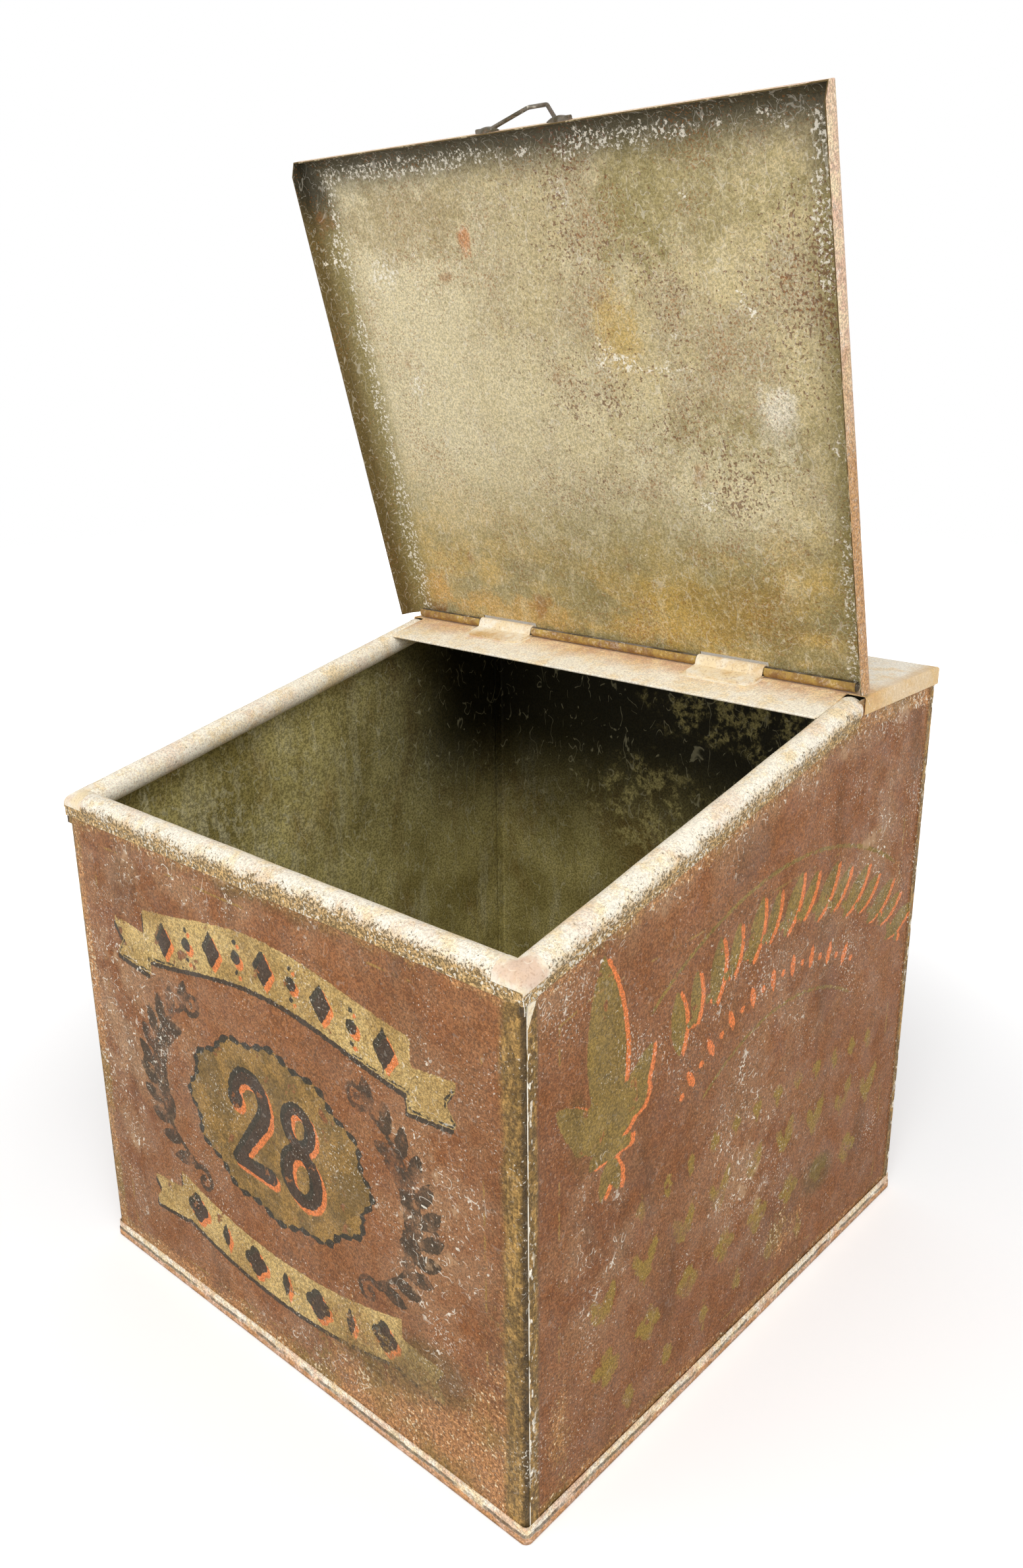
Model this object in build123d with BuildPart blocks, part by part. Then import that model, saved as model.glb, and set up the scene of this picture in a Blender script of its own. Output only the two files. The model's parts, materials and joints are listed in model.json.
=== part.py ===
from build123d import *
from math import acos, asin, atan2, cos, degrees, hypot, radians, sin, tan
import os

# Tea bin of soldered tinplate: a square bin with a sloping mouth, a flat shelf at the back and a
# hinged lid. It stands on the floor with its footprint's centre at the origin, +X is right seen
# from the front, +Y is towards the back. Lengths are millimetres, angles are degrees.

# Bin
bin_width = 330.0
bin_depth = 350.0
front_height = 285.5
shelf_height = 340.0
shelf_depth = 86.0
sheet = 0.6
seam_clearance = 0.1
cut_overrun = 20.0

# Corner seams
front_lap = 9.0
rear_lap = 7.0
lap_end_gap = 0.3
joggle_length = 1.0
bend_radius = 3.0
front_edge_setback = 3.0
rear_edge_setback = 2.0

# Rolled rim round the mouth
rim_diameter = 14.5
lip_setback = 0.3
neck_radius = 0.8
neck_share = 0.69
lip_share = 0.91
wall_drop_share = 0.97
stub_share = 1.17
corner_drop_share = 1.52
roll_end_setback = 3.5

# Sloping strip, shelf and its turned-down flanges
strip_length = 30.5
strip_drop = 0.5
hem_depth = 7.0
hem_gap = 0.3
flange_setback = 1.5
flange_depth = 9.7
flange_bend = 1.5

# Bottom pan
pan_height = 9.5
band_height = 5.2
band_stand = 0.5
ridge_share = 0.9
pan_foot_radius = 0.8

# Hinge
hinge_setback = 4.0
shelf_gap = 0.35
wire_diameter = 5.0
lid_wire_clearance = 0.05
strap_wire_clearance = 0.1
strap_width = 43.0
strap_spread = 83.0
strap_reach = 12.0
strap_upper_setback = 0.6
strap_corner = 5.0
strap_wrap_angle = 160.0
strap_bend = 3.0
strap_crease = 1.2
strap_side_gap = 0.5
notch_front = 3.9
notch_rear = 1.0
wire_end_gap = 0.1

# Lid
lid_open_angle = 105.5
lid_side_clearance = 0.8
lid_front_clearance = 0.5
lid_rest_gap = 0.5
lid_flange = 15.0
lid_fold = 8.0
lid_curl_angle = 240.0
lid_rear_reach = 1.0
lid_rear_slant = 4.0
lid_corner_clip = 7.0
lid_clip_share = 0.55

# Handle
handle_wire = 2.0
handle_centre = 5.0
handle_half_base = 21.0
handle_half_top = 6.0
handle_reach = 14.5
handle_lean_angle = 66.0
handle_foot = 9.0
handle_bend = 3.5
handle_seat = 0.05

# Solder
solder_skin = 0.2
solder_bead = 1.5
solder_reach = 9.0
solder_start_angle = 60.0
solder_wrap_angle = 125.0
solder_tear_width = 5.0
solder_tear_length = 11.0
solder_spindle_length = 15.0
solder_spindle_cover = 0.5
solder_spindle_tip = 0.6

os.makedirs("parts", exist_ok=True)

# Places worked out from the sizes above
half_width = bin_width / 2
half_depth = bin_depth / 2
break_y = half_depth - shelf_depth
wall_bottom = sheet + seam_clearance
wall_top = shelf_height - flange_bend - seam_clearance
lap_face = half_width - sheet
under_lap_face = lap_face - seam_clearance
pan_corner = rear_edge_setback + 2 * sheet
band_corner = pan_corner + band_stand
pan_half_x = half_width + seam_clearance + sheet
pan_half_y = half_depth + seam_clearance + sheet

rim_radius = rim_diameter / 2
rim_bore = rim_radius - sheet
rim_overhang = sheet + seam_clearance + lip_setback
front_inset = rim_radius - rim_overhang
side_inset = front_inset - sheet
rim_x = half_width - front_inset
rim_y = front_inset - half_depth
rim_z = front_height - rim_radius
neck_drop = rim_radius * neck_share
lip_drop = rim_radius * lip_share
wall_drop = rim_radius * wall_drop_share
side_stub = rim_radius * stub_share
corner_drop = rim_radius * corner_drop_share

# The strip's top lies strip_drop under the crest of the rim, which gives the mouth's slope
rim_to_break = hypot(break_y - rim_y, shelf_height - rim_z)
chord_angle = atan2(shelf_height - rim_z, break_y - rim_y)
slope = degrees(chord_angle - asin((rim_radius - strip_drop) / rim_to_break))
slope_run = cos(radians(slope))
slope_rise = sin(radians(slope))
slope_direction = (0, slope_run, slope_rise)
roll_length = (break_y - roll_end_setback - rim_y) / slope_run
roll_end_point = (rim_x, rim_y + roll_length * slope_run, rim_z + roll_length * slope_rise)

# The hinge wire's centre line, and the lid's own directions in the side view
wire_radius = wire_diameter / 2
knuckle_bore = wire_radius + lid_wire_clearance
knuckle_radius = knuckle_bore + sheet
hinge_y = break_y + hinge_setback
hinge_z = shelf_height + shelf_gap + knuckle_radius
strap_bore = wire_radius + strap_wire_clearance
strap_radius = strap_bore + sheet
strap_seat = hinge_z - strap_radius - shelf_height
lid_along = (0, cos(radians(lid_open_angle)), sin(radians(lid_open_angle)))
lid_under = (0, -sin(radians(lid_open_angle)), cos(radians(lid_open_angle)))

# The closed lid rests over the front rim: its slope, its travel and its length
hinge_back = hinge_y - rim_y
hinge_up = hinge_z - rim_z
rim_sink = lid_rest_gap + rim_radius - knuckle_bore
closed_slope = degrees(atan2(hinge_up, hinge_back) - asin(rim_sink / hypot(hinge_back, hinge_up)))
lid_travel = 180 + closed_slope - lid_open_angle
lip_face = front_inset + seam_clearance + sheet
lip_back = (hinge_back + lip_face) * cos(radians(closed_slope))
lip_down = (hinge_up + lip_drop) * sin(radians(closed_slope))
lid_length = lip_back + lip_down + lid_front_clearance + sheet
lid_half_width = half_width + rim_overhang + lid_side_clearance + sheet
lid_fold_outer = lid_fold + sheet
lid_flat_half = lid_half_width - lid_fold_outer
lid_free_edge = lid_flange - knuckle_radius

mitre_plane = Plane((rim_x, rim_y, rim_z), z_dir=(1, slope_run, slope_rise))
mitre_plane_left = Plane((-rim_x, rim_y, rim_z), z_dir=(-1, slope_run, slope_rise))
hinge_origin = (0, hinge_y, hinge_z)
lid_plane = Plane(hinge_origin, x_dir=(1, 0, 0), z_dir=lid_under)
lid_side_plane = Plane(hinge_origin, x_dir=lid_along, z_dir=(1, 0, 0))


print(f"The hinge wire lies at y {hinge_y:.3f}, z {hinge_z:.3f}")
print(f"The lid turns {lid_travel:.2f} degrees to close")


def slope_point(along, lift):
    """Side-view point measured from the break: up the slope, and square to the strip's top."""
    y = break_y + along * slope_run - lift * slope_rise
    z = shelf_height + along * slope_rise + lift * slope_run
    return (y, z)


def lid_point(x, along, under):
    """Point in the lid's own directions, measured from the middle of the hinge wire."""
    y = hinge_y + along * lid_along[1] + under * lid_under[1]
    z = hinge_z + along * lid_along[2] + under * lid_under[2]
    return (x, y, z)


def on_circle(radius, angle):
    """Point on a circle about the origin."""
    return (radius * cos(radians(angle)), radius * sin(radians(angle)))


def draw_rim(inset, stub):
    """Section of a wall's top: a stub, a neck, and a hollow roll whose lip hangs outside the wall."""
    touch = 180 + degrees(atan2(neck_drop, inset) + acos(rim_bore / hypot(inset, neck_drop)))
    lip_inner = inset + seam_clearance
    lip_outer = lip_inner + sheet
    inner_end = 540 + degrees(acos(lip_inner / rim_bore))
    outer_end = 540 + degrees(acos(lip_outer / rim_radius))
    touch_x, touch_z = on_circle(rim_radius, touch)
    neck_z = touch_z + (touch_x + inset - sheet) / tan(radians(touch))
    FilletPolyline((-inset, -stub), (-inset, -neck_drop), on_circle(rim_bore, touch), radius=neck_radius)
    CenterArc((0, 0), rim_bore, touch, inner_end - touch)
    Polyline(
        on_circle(rim_bore, inner_end),
        (-lip_inner, -lip_drop),
        (-lip_outer, -lip_drop),
        on_circle(rim_radius, outer_end),
    )
    CenterArc((0, 0), rim_radius, touch, outer_end - touch)
    FilletPolyline(
        (touch_x, touch_z),
        (sheet - inset, neck_z),
        (sheet - inset, -stub),
        radius=neck_radius - sheet,
    )
    Line((sheet - inset, -stub), (-inset, -stub))


def save(part, name):
    """Labels a finished piece and writes its file."""
    part.label = name
    export_step(part, f"parts/{name}.step")


# Bottom: a shallow pan whose turned-up rim holds the walls, with a thicker band at its foot
with BuildPart() as bottom_pan:
    with BuildSketch(Plane.XY):
        RectangleRounded(2 * pan_half_x, 2 * pan_half_y, pan_corner)
    extrude(amount=pan_height)
    with BuildSketch(Plane.XY):
        RectangleRounded(2 * (pan_half_x + band_stand), 2 * (pan_half_y + band_stand), band_corner)
    extrude(amount=band_height)
    ridge = bottom_pan.faces().sort_by(Axis.Z)[0].outer_wire()
    fillet(ridge.edges(), radius=pan_foot_radius)
    band_faces = bottom_pan.faces().filter_by(Axis.Z).filter_by_position(Axis.Z, band_height, band_height)
    chamfer(band_faces[0].outer_wire().edges(), length=band_stand * ridge_share)
    with BuildSketch(Plane.XY.offset(sheet)):
        RectangleRounded(2 * (pan_half_x - sheet), 2 * (pan_half_y - sheet), pan_corner - sheet)
    extrude(amount=pan_height, mode=Mode.SUBTRACT)
save(bottom_pan.part, "bottom_pan")

# Front wall: its edges turn back inside the side walls, its top is rolled into the rim
front_flange_end = front_lap - lap_end_gap - half_depth
with BuildPart() as front_panel:
    with BuildSketch(Plane((0, rim_y, rim_z), x_dir=(0, 1, 0), z_dir=(1, 0, 0))):
        with BuildLine():
            draw_rim(front_inset, corner_drop)
        make_face()
    extrude(amount=half_width + cut_overrun, both=True)
    split(bisect_by=mitre_plane, keep=Keep.BOTTOM)
    split(bisect_by=mitre_plane_left, keep=Keep.BOTTOM)
    with Locations((0, rim_y, rim_z)):
        Box(2 * (half_width + rim_overhang), front_height, front_height, mode=Mode.INTERSECT)
    with BuildSketch(Plane.XY.offset(wall_bottom)):
        with BuildLine():
            FilletPolyline(
                (under_lap_face, front_flange_end),
                (under_lap_face, -half_depth),
                (-under_lap_face, -half_depth),
                (-under_lap_face, front_flange_end),
                radius=bend_radius,
            )
            offset(amount=sheet, side=Side.RIGHT)
        make_face()
    extrude(amount=rim_z - corner_drop - wall_bottom)
save(front_panel.part, "front_panel")

# Closed end of a side roll, a hollow half ball
with BuildPart() as roll_end:
    with Locations(roll_end_point):
        Sphere(rim_radius)
        Sphere(rim_bore, mode=Mode.SUBTRACT)
    split(bisect_by=Plane(roll_end_point, z_dir=slope_direction), keep=Keep.TOP)

# Side wall below the roll: lap bands stand one sheet proud at both ends
lap_front = front_lap - half_depth
lap_rear = half_depth - rear_lap
wall_rise = tan(radians(slope))
wall_line_front = rim_z - wall_drop / slope_run - (half_depth + cut_overrun + rim_y) * wall_rise
wall_line_rear = rim_z - wall_drop / slope_run + (roll_end_point[1] - rim_y) * wall_rise
with BuildPart() as side_wall:
    with BuildSketch(Plane.XY.offset(wall_bottom)):
        with BuildLine():
            Polyline(
                (half_width, front_edge_setback - half_depth),
                (half_width, lap_front),
                (lap_face, lap_front + joggle_length),
                (lap_face, lap_rear - joggle_length),
                (half_width, lap_rear),
                (half_width, half_depth - rear_edge_setback),
            )
            offset(amount=sheet, side=Side.LEFT, kind=Kind.INTERSECTION)
        make_face()
    extrude(amount=wall_top - wall_bottom)
    with BuildSketch(Plane.YZ):
        with BuildLine():
            Polyline(
                (-half_depth - cut_overrun, wall_bottom),
                (-half_depth - cut_overrun, wall_line_front),
                (roll_end_point[1], wall_line_rear),
                (roll_end_point[1], wall_top),
                (half_depth + cut_overrun, wall_top),
                (half_depth + cut_overrun, wall_bottom),
                close=True,
            )
        make_face()
    extrude(amount=bin_width, mode=Mode.INTERSECT)

roll_start = (rim_x, rim_y - cut_overrun * slope_run, rim_z - cut_overrun * slope_rise)
with BuildPart() as right_side_panel:
    with BuildSketch(Plane(roll_start, x_dir=(-1, 0, 0), z_dir=slope_direction)):
        with BuildLine():
            draw_rim(side_inset, side_stub)
        make_face()
    extrude(amount=cut_overrun + roll_length)
    split(bisect_by=mitre_plane, keep=Keep.TOP)
    add(roll_end.part)
    add(side_wall.part)
save(right_side_panel.part, "right_side_panel")

with BuildPart() as left_side_panel:
    mirror(right_side_panel.part, about=Plane.YZ)
save(left_side_panel.part, "left_side_panel")

# Back wall: its edges turn forward inside the side walls
back_flange_end = half_depth - rear_lap + lap_end_gap
with BuildPart() as back_panel:
    with BuildSketch(Plane.XY.offset(wall_bottom)):
        with BuildLine():
            FilletPolyline(
                (-under_lap_face, back_flange_end),
                (-under_lap_face, half_depth),
                (under_lap_face, half_depth),
                (under_lap_face, back_flange_end),
                radius=rear_edge_setback,
            )
            offset(amount=sheet, side=Side.RIGHT)
        make_face()
    extrude(amount=wall_top - wall_bottom)
save(back_panel.part, "back_panel")

# Top plate: a hemmed strip on the slope between the side rolls, then the flat shelf, whose side
# and back edges turn down outside the walls
hem_radius = sheet + hem_gap / 2
hem_bottom = rim_radius - strip_drop - 2 * hem_radius
strip_half = rim_x - (rim_radius**2 - (rim_radius - strip_drop - sheet) ** 2) ** 0.5 - seam_clearance
hem_half = rim_x - (rim_radius**2 - hem_bottom**2) ** 0.5 - seam_clearance
flange_start = break_y + flange_setback
with BuildPart() as shelf_hollow:
    with BuildSketch(Plane.XY.offset(shelf_height - sheet)):
        with Locations((0, (flange_start - cut_overrun + pan_half_y - sheet) / 2)):
            Rectangle(2 * (pan_half_x - sheet), pan_half_y - sheet - flange_start + cut_overrun)
    extrude(amount=-flange_depth - cut_overrun)
    fold_edges = shelf_hollow.faces().sort_by(Axis.Z)[-1].edges().sort_by(Axis.Y)[1:]
    fillet(fold_edges, radius=flange_bend - sheet)

with BuildPart() as top_plate:
    with BuildSketch(Plane.XY.offset(shelf_height)):
        with Locations((0, (flange_start + pan_half_y) / 2)):
            Rectangle(2 * pan_half_x, pan_half_y - flange_start)
    extrude(amount=-flange_depth)
    fold_edges = top_plate.faces().sort_by(Axis.Z)[-1].edges().sort_by(Axis.Y)[1:]
    fillet(fold_edges, radius=flange_bend)
    add(shelf_hollow.part, mode=Mode.SUBTRACT)
    with BuildSketch(Plane.YZ):
        with BuildLine():
            Polyline(
                slope_point(hem_radius - strip_length, 0),
                (break_y, shelf_height),
                (flange_start + flange_bend, shelf_height),
            )
            offset(amount=sheet, side=Side.RIGHT, kind=Kind.INTERSECTION)
        make_face()
    extrude(amount=strip_half, both=True)
    with BuildSketch(Plane.YZ):
        with BuildLine():
            outer_fold = ThreePointArc(
                slope_point(hem_radius - strip_length, -2 * hem_radius),
                slope_point(-strip_length, -hem_radius),
                slope_point(hem_radius - strip_length, 0),
            )
            inner_fold = ThreePointArc(
                slope_point(hem_radius - strip_length, sheet - 2 * hem_radius),
                slope_point(sheet - strip_length, -hem_radius),
                slope_point(hem_radius - strip_length, -sheet),
            )
            Polyline(
                outer_fold @ 1,
                slope_point(hem_depth - strip_length, 0),
                slope_point(hem_depth - strip_length, -sheet),
                inner_fold @ 1,
            )
            Polyline(
                outer_fold @ 0,
                slope_point(hem_depth - strip_length, -2 * hem_radius),
                slope_point(hem_depth - strip_length, sheet - 2 * hem_radius),
                inner_fold @ 0,
            )
        make_face()
    extrude(amount=hem_half, both=True)
save(top_plate.part, "top_plate")

# Hinge straps: a tinplate strap laid round the wire, both its legs soldered down on the strip
strap_top_lift = strap_seat + sheet
upper_lift = strap_top_lift + seam_clearance


def draw_strap_face(step):
    """One face of the strap in the side view, step outside the face that is turned to the wire."""
    lower_lift = strap_top_lift - step
    radius = strap_bore + step
    turn_y, turn_z = on_circle(radius, strap_wrap_angle)
    drop_y, drop_z = on_circle(1, strap_wrap_angle + 90)
    turn_lift = (hinge_z + turn_z - shelf_height) * slope_run - (hinge_y + turn_y - break_y) * slope_rise
    drop = (turn_lift - upper_lift - step) / (drop_y * slope_rise - drop_z * slope_run)
    lower = FilletPolyline(
        slope_point(-strap_reach, lower_lift),
        slope_point(-lower_lift * tan(radians(slope / 2)), lower_lift),
        (hinge_y, hinge_z - radius),
        radius=strap_bend - step,
    )
    CenterArc((hinge_y, hinge_z), radius, -90, 90 + strap_wrap_angle)
    upper = FilletPolyline(
        (hinge_y + turn_y, hinge_z + turn_z),
        (hinge_y + turn_y + drop * drop_y, hinge_z + turn_z + drop * drop_z),
        slope_point(strap_upper_setback - strap_reach, upper_lift + step),
        radius=strap_crease - step,
    )
    return lower @ 0, upper @ 1


for side, strap_x in (("left", -strap_spread), ("right", strap_spread)):
    with BuildPart() as strap:
        with BuildSketch(Plane.YZ.offset(strap_x)):
            with BuildLine():
                inner_low, inner_high = draw_strap_face(0)
                outer_low, outer_high = draw_strap_face(sheet)
                Line(inner_low, outer_low)
                Line(inner_high, outer_high)
            make_face()
        extrude(amount=strap_width / 2, both=True)
        with BuildSketch(Plane.XY) as tab:
            with Locations((strap_x, hinge_y)):
                Rectangle(strap_width, 2 * (hinge_setback + strap_reach))
            fillet(tab.vertices().group_by(Axis.Y)[0], radius=strap_corner)
        extrude(amount=hinge_z + cut_overrun, mode=Mode.INTERSECT)
    save(strap.part, f"{side}_hinge_strap")

# Lid: one sheet with soft folds down both sides and the front, curled round the wire at the back
lid_cross_plane = Plane(lid_point(0, -cut_overrun, 0), x_dir=(-1, 0, 0), z_dir=lid_along)


def draw_lid_cross(step):
    """Section across the lid, step inside its outer faces: a wide channel open on its under side."""
    half = lid_half_width - step
    top = step - knuckle_radius
    edge = lid_free_edge + step
    FilletPolyline((-half, edge), (-half, top), (half, top), (half, edge), radius=lid_fold_outer - step)
    Line((half, edge), (-half, edge))


def draw_lid_length(step):
    """Section along the lid, step inside its outer faces, from behind the hinge to the front flange."""
    front = lid_length - step
    top = step - knuckle_radius
    edge = lid_free_edge + step
    FilletPolyline((-cut_overrun, top), (front, top), (front, edge), radius=lid_fold_outer - step)
    Polyline((front, edge), (-cut_overrun, edge), (-cut_overrun, top))


lid_blocks = []
for step in (0, sheet):
    with BuildPart() as lid_block:
        with BuildSketch(lid_cross_plane):
            with BuildLine():
                draw_lid_cross(step)
            make_face()
        extrude(amount=lid_length + 2 * cut_overrun)
        with BuildSketch(lid_side_plane):
            with BuildLine():
                draw_lid_length(step)
            make_face()
        extrude(amount=bin_width, both=True, mode=Mode.INTERSECT)
    lid_blocks.append(lid_block.part)

clip_depth = lid_corner_clip * lid_clip_share
clip_middle = (lid_flat_half + lid_half_width + sheet) / 2
with BuildPart() as lid_panel:
    add(lid_blocks[0])
    add(lid_blocks[1], mode=Mode.SUBTRACT)
    # The folds stop at the hinge line, where the side flanges are cut off at a slant
    with BuildSketch(lid_side_plane):
        with BuildLine():
            Polyline(
                (-lid_rear_reach, -lid_fold_outer),
                (-lid_rear_reach, 0),
                (lid_rear_slant - lid_rear_reach, lid_flange),
                (-2 * cut_overrun, lid_flange),
                (-2 * cut_overrun, -lid_fold_outer),
                close=True,
            )
        make_face()
    extrude(amount=bin_width, both=True, mode=Mode.SUBTRACT)
    # Both front corners are clipped where the flanges meet
    for corner_x in (-clip_middle, clip_middle):
        with BuildSketch(lid_side_plane.offset(corner_x)):
            with BuildLine():
                Polyline(
                    (lid_length + sheet, lid_free_edge - clip_depth),
                    (lid_length + sheet, lid_flange),
                    (lid_length - lid_corner_clip, lid_flange),
                    (lid_length - lid_corner_clip, lid_free_edge),
                    close=True,
                )
            make_face()
        extrude(amount=clip_middle - lid_flat_half, both=True, mode=Mode.SUBTRACT)
    # The rear edge is curled round the hinge wire, between the folds
    with BuildSketch(lid_side_plane):
        with BuildLine():
            Line((sheet, -knuckle_bore), (0, -knuckle_bore))
            CenterArc((0, 0), knuckle_bore, -90, -lid_curl_angle)
            offset(amount=sheet, side=Side.LEFT)
        make_face()
    extrude(amount=lid_flat_half, both=True)
    for strap_x in (-strap_spread, strap_spread):
        with BuildSketch(lid_side_plane.offset(strap_x)):
            with Locations(((notch_front - strap_radius - notch_rear) / 2, 0)):
                Rectangle(notch_front + strap_radius + notch_rear, 2 * strap_radius + sheet)
        extrude(amount=strap_width / 2 + strap_side_gap, both=True, mode=Mode.SUBTRACT)
save(lid_panel.part, "lid_panel")

# Hinge wire: it lies in the lid's curl and turns in the two straps
with BuildPart() as hinge_wire:
    with BuildSketch(lid_side_plane):
        Circle(wire_radius)
    extrude(amount=lid_flat_half - wire_end_gap, both=True)
save(hinge_wire.part, "hinge_wire")

# Handle: a bent wire loop on the front flange, its two feet turned outward. The loop leans towards
# the top of the lid, so that a finger lifts it from the front
handle_radius = handle_wire / 2
handle_seat_along = lid_length + handle_seat + handle_radius
handle_under = lid_fold_outer - knuckle_radius + (lid_flange - lid_fold_outer) / 2
handle_angle = lid_open_angle - handle_lean_angle
handle_face = (0, -sin(radians(handle_angle)), cos(radians(handle_angle)))
handle_plane = Plane(lid_point(0, handle_seat_along, handle_under), x_dir=(1, 0, 0), z_dir=handle_face)
with BuildPart() as lid_handle:
    with BuildLine(handle_plane) as handle_path:
        FilletPolyline(
            (handle_centre - handle_half_base - handle_foot, 0),
            (handle_centre - handle_half_base, 0),
            (handle_centre - handle_half_top, handle_reach),
            (handle_centre + handle_half_top, handle_reach),
            (handle_centre + handle_half_base, 0),
            (handle_centre + handle_half_base + handle_foot, 0),
            radius=handle_bend,
        )
    with BuildSketch(Plane(handle_path.line @ 0, z_dir=handle_path.line % 0)):
        Circle(handle_radius)
    sweep()
save(lid_handle.part, "lid_handle")

# Solder over the handle's feet: two long low beads on the front flange
bead_height = handle_seat + handle_wire + solder_spindle_cover
bead_middle = handle_half_base + handle_foot - solder_spindle_length / 2 + solder_spindle_cover
bead_plane = Plane(lid_point(0, 0, handle_under), x_dir=(1, 0, 0), z_dir=lid_under)
with BuildPart() as handle_solder:
    for bead_x in (handle_centre - bead_middle, handle_centre + bead_middle):
        with BuildSketch(bead_plane):
            with BuildLine():
                crown = ThreePointArc(
                    (bead_x - solder_spindle_length / 2, lid_length + solder_spindle_tip),
                    (bead_x, lid_length + bead_height),
                    (bead_x + solder_spindle_length / 2, lid_length + solder_spindle_tip),
                )
                Polyline(
                    crown @ 0,
                    (bead_x - solder_spindle_length / 2, lid_length),
                    (bead_x + solder_spindle_length / 2, lid_length),
                    crown @ 1,
                )
            make_face()
        revolve(axis=Axis(lid_point(0, lid_length, handle_under), (1, 0, 0)))
    split(bisect_by=Plane(lid_point(0, lid_length, 0), z_dir=lid_along), keep=Keep.TOP)
    add(lid_handle.part, mode=Mode.SUBTRACT)
save(handle_solder.part, "handle_solder")

# Solder under the straps: it fills the slit over the strip and shows as a bead round the tabs
solder_end = -strap_seat - strap_bend * tan(radians(slope / 2))
with BuildPart() as strap_solder:
    for strap_x in (-strap_spread, strap_spread):
        with BuildSketch(Plane.YZ.offset(strap_x)):
            with BuildLine():
                Polyline(
                    slope_point(-strap_reach - solder_bead, 0),
                    slope_point(solder_end, 0),
                    slope_point(solder_end, strap_seat),
                    slope_point(-strap_reach - solder_bead, strap_seat),
                    close=True,
                )
            make_face()
        extrude(amount=strap_width / 2 + solder_bead, both=True)
save(strap_solder.part, "strap_solder")

# Solder at the rim's front corners: a thin skin bent over each mitre, and a pointed run below it
# that seals the top of the corner seam
tear_top = rim_z - wall_drop / slope_run
tear_edge = front_edge_setback - half_depth
skin_radius = rim_radius + solder_skin


def draw_skin():
    """Section of the solder skin round the outer side of a roll."""
    CenterArc((0, 0), skin_radius, solder_start_angle, solder_wrap_angle)
    CenterArc((0, 0), rim_radius, solder_start_angle, solder_wrap_angle)
    for turn in (solder_start_angle, solder_start_angle + solder_wrap_angle):
        Line(on_circle(rim_radius, turn), on_circle(skin_radius, turn))


skin_start = (rim_x, rim_y - rim_diameter * slope_run, rim_z - rim_diameter * slope_rise)
with BuildPart() as front_skin:
    with BuildSketch(Plane((rim_x - solder_reach, rim_y, rim_z), x_dir=(0, 1, 0), z_dir=(1, 0, 0))):
        with BuildLine():
            draw_skin()
        make_face()
    extrude(amount=solder_reach + rim_diameter)
    split(bisect_by=mitre_plane, keep=Keep.BOTTOM)
with BuildPart() as side_skin:
    with BuildSketch(Plane(skin_start, x_dir=(-1, 0, 0), z_dir=slope_direction)):
        with BuildLine():
            draw_skin()
        make_face()
    extrude(amount=rim_diameter + solder_reach)
    split(bisect_by=mitre_plane, keep=Keep.TOP)
with BuildPart() as rim_corner_solder:
    add(front_skin.part)
    add(side_skin.part)
    with BuildSketch(Plane.YZ.offset(half_width)):
        with BuildLine():
            Polyline(
                (tear_edge, tear_top - solder_skin),
                (tear_edge + solder_tear_width, tear_top - solder_skin),
                (tear_edge, tear_top - solder_tear_length),
                close=True,
            )
        make_face()
    extrude(amount=solder_skin)
    mirror(rim_corner_solder.part, about=Plane.YZ)
save(rim_corner_solder.part, "rim_corner_solder")
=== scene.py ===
import json
from functools import reduce
from math import acos, asin, atan2, cos, degrees, hypot, radians, sin, tan

import bpy
import numpy as np
from bpy.props import FloatProperty, FloatVectorProperty, PointerProperty
from mathutils import Matrix, Vector


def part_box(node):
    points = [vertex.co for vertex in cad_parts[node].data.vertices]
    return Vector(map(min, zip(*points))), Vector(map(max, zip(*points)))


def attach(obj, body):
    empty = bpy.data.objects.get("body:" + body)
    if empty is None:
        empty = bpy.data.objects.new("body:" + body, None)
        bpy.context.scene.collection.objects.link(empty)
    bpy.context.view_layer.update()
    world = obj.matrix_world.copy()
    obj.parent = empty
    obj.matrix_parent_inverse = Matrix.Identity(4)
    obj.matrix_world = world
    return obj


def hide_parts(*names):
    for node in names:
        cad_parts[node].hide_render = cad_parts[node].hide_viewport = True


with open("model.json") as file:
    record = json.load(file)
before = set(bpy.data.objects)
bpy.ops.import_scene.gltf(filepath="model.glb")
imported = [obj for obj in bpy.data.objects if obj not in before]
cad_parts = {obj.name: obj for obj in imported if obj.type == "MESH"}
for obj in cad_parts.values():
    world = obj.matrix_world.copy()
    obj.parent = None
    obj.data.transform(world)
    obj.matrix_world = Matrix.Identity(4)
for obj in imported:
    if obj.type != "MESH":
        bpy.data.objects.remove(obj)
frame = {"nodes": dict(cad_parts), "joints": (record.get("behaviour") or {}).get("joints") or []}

bl_info = {
    "name": "Tea Bin",
    "version": (1, 0, 0),
    "blender": (4, 5, 0),
    "location": "View3D > Sidebar > Tea Bin",
    "description": "Walls, lid, worn paint and soft light for a hinged tinplate tea bin",
    "category": "Object",
}

# The bin stands on the floor with its footprint's centre at the origin: +X is right seen from the
# front, +Y is towards the back. Lengths are metres, angles are degrees unless a property says more.
MM = 0.001

# Places that the frame already holds
BACK_LOW, BACK_HIGH = (Vector(corner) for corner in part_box("back_panel"))
FRONT_HIGH = Vector(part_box("front_panel")[1])
SHELF_HIGH = Vector(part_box("top_plate")[1])
LID_LOW, LID_HIGH = (Vector(corner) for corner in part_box("lid_panel"))
HINGE = Vector(frame["joints"][0]["pos_m"])

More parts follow.
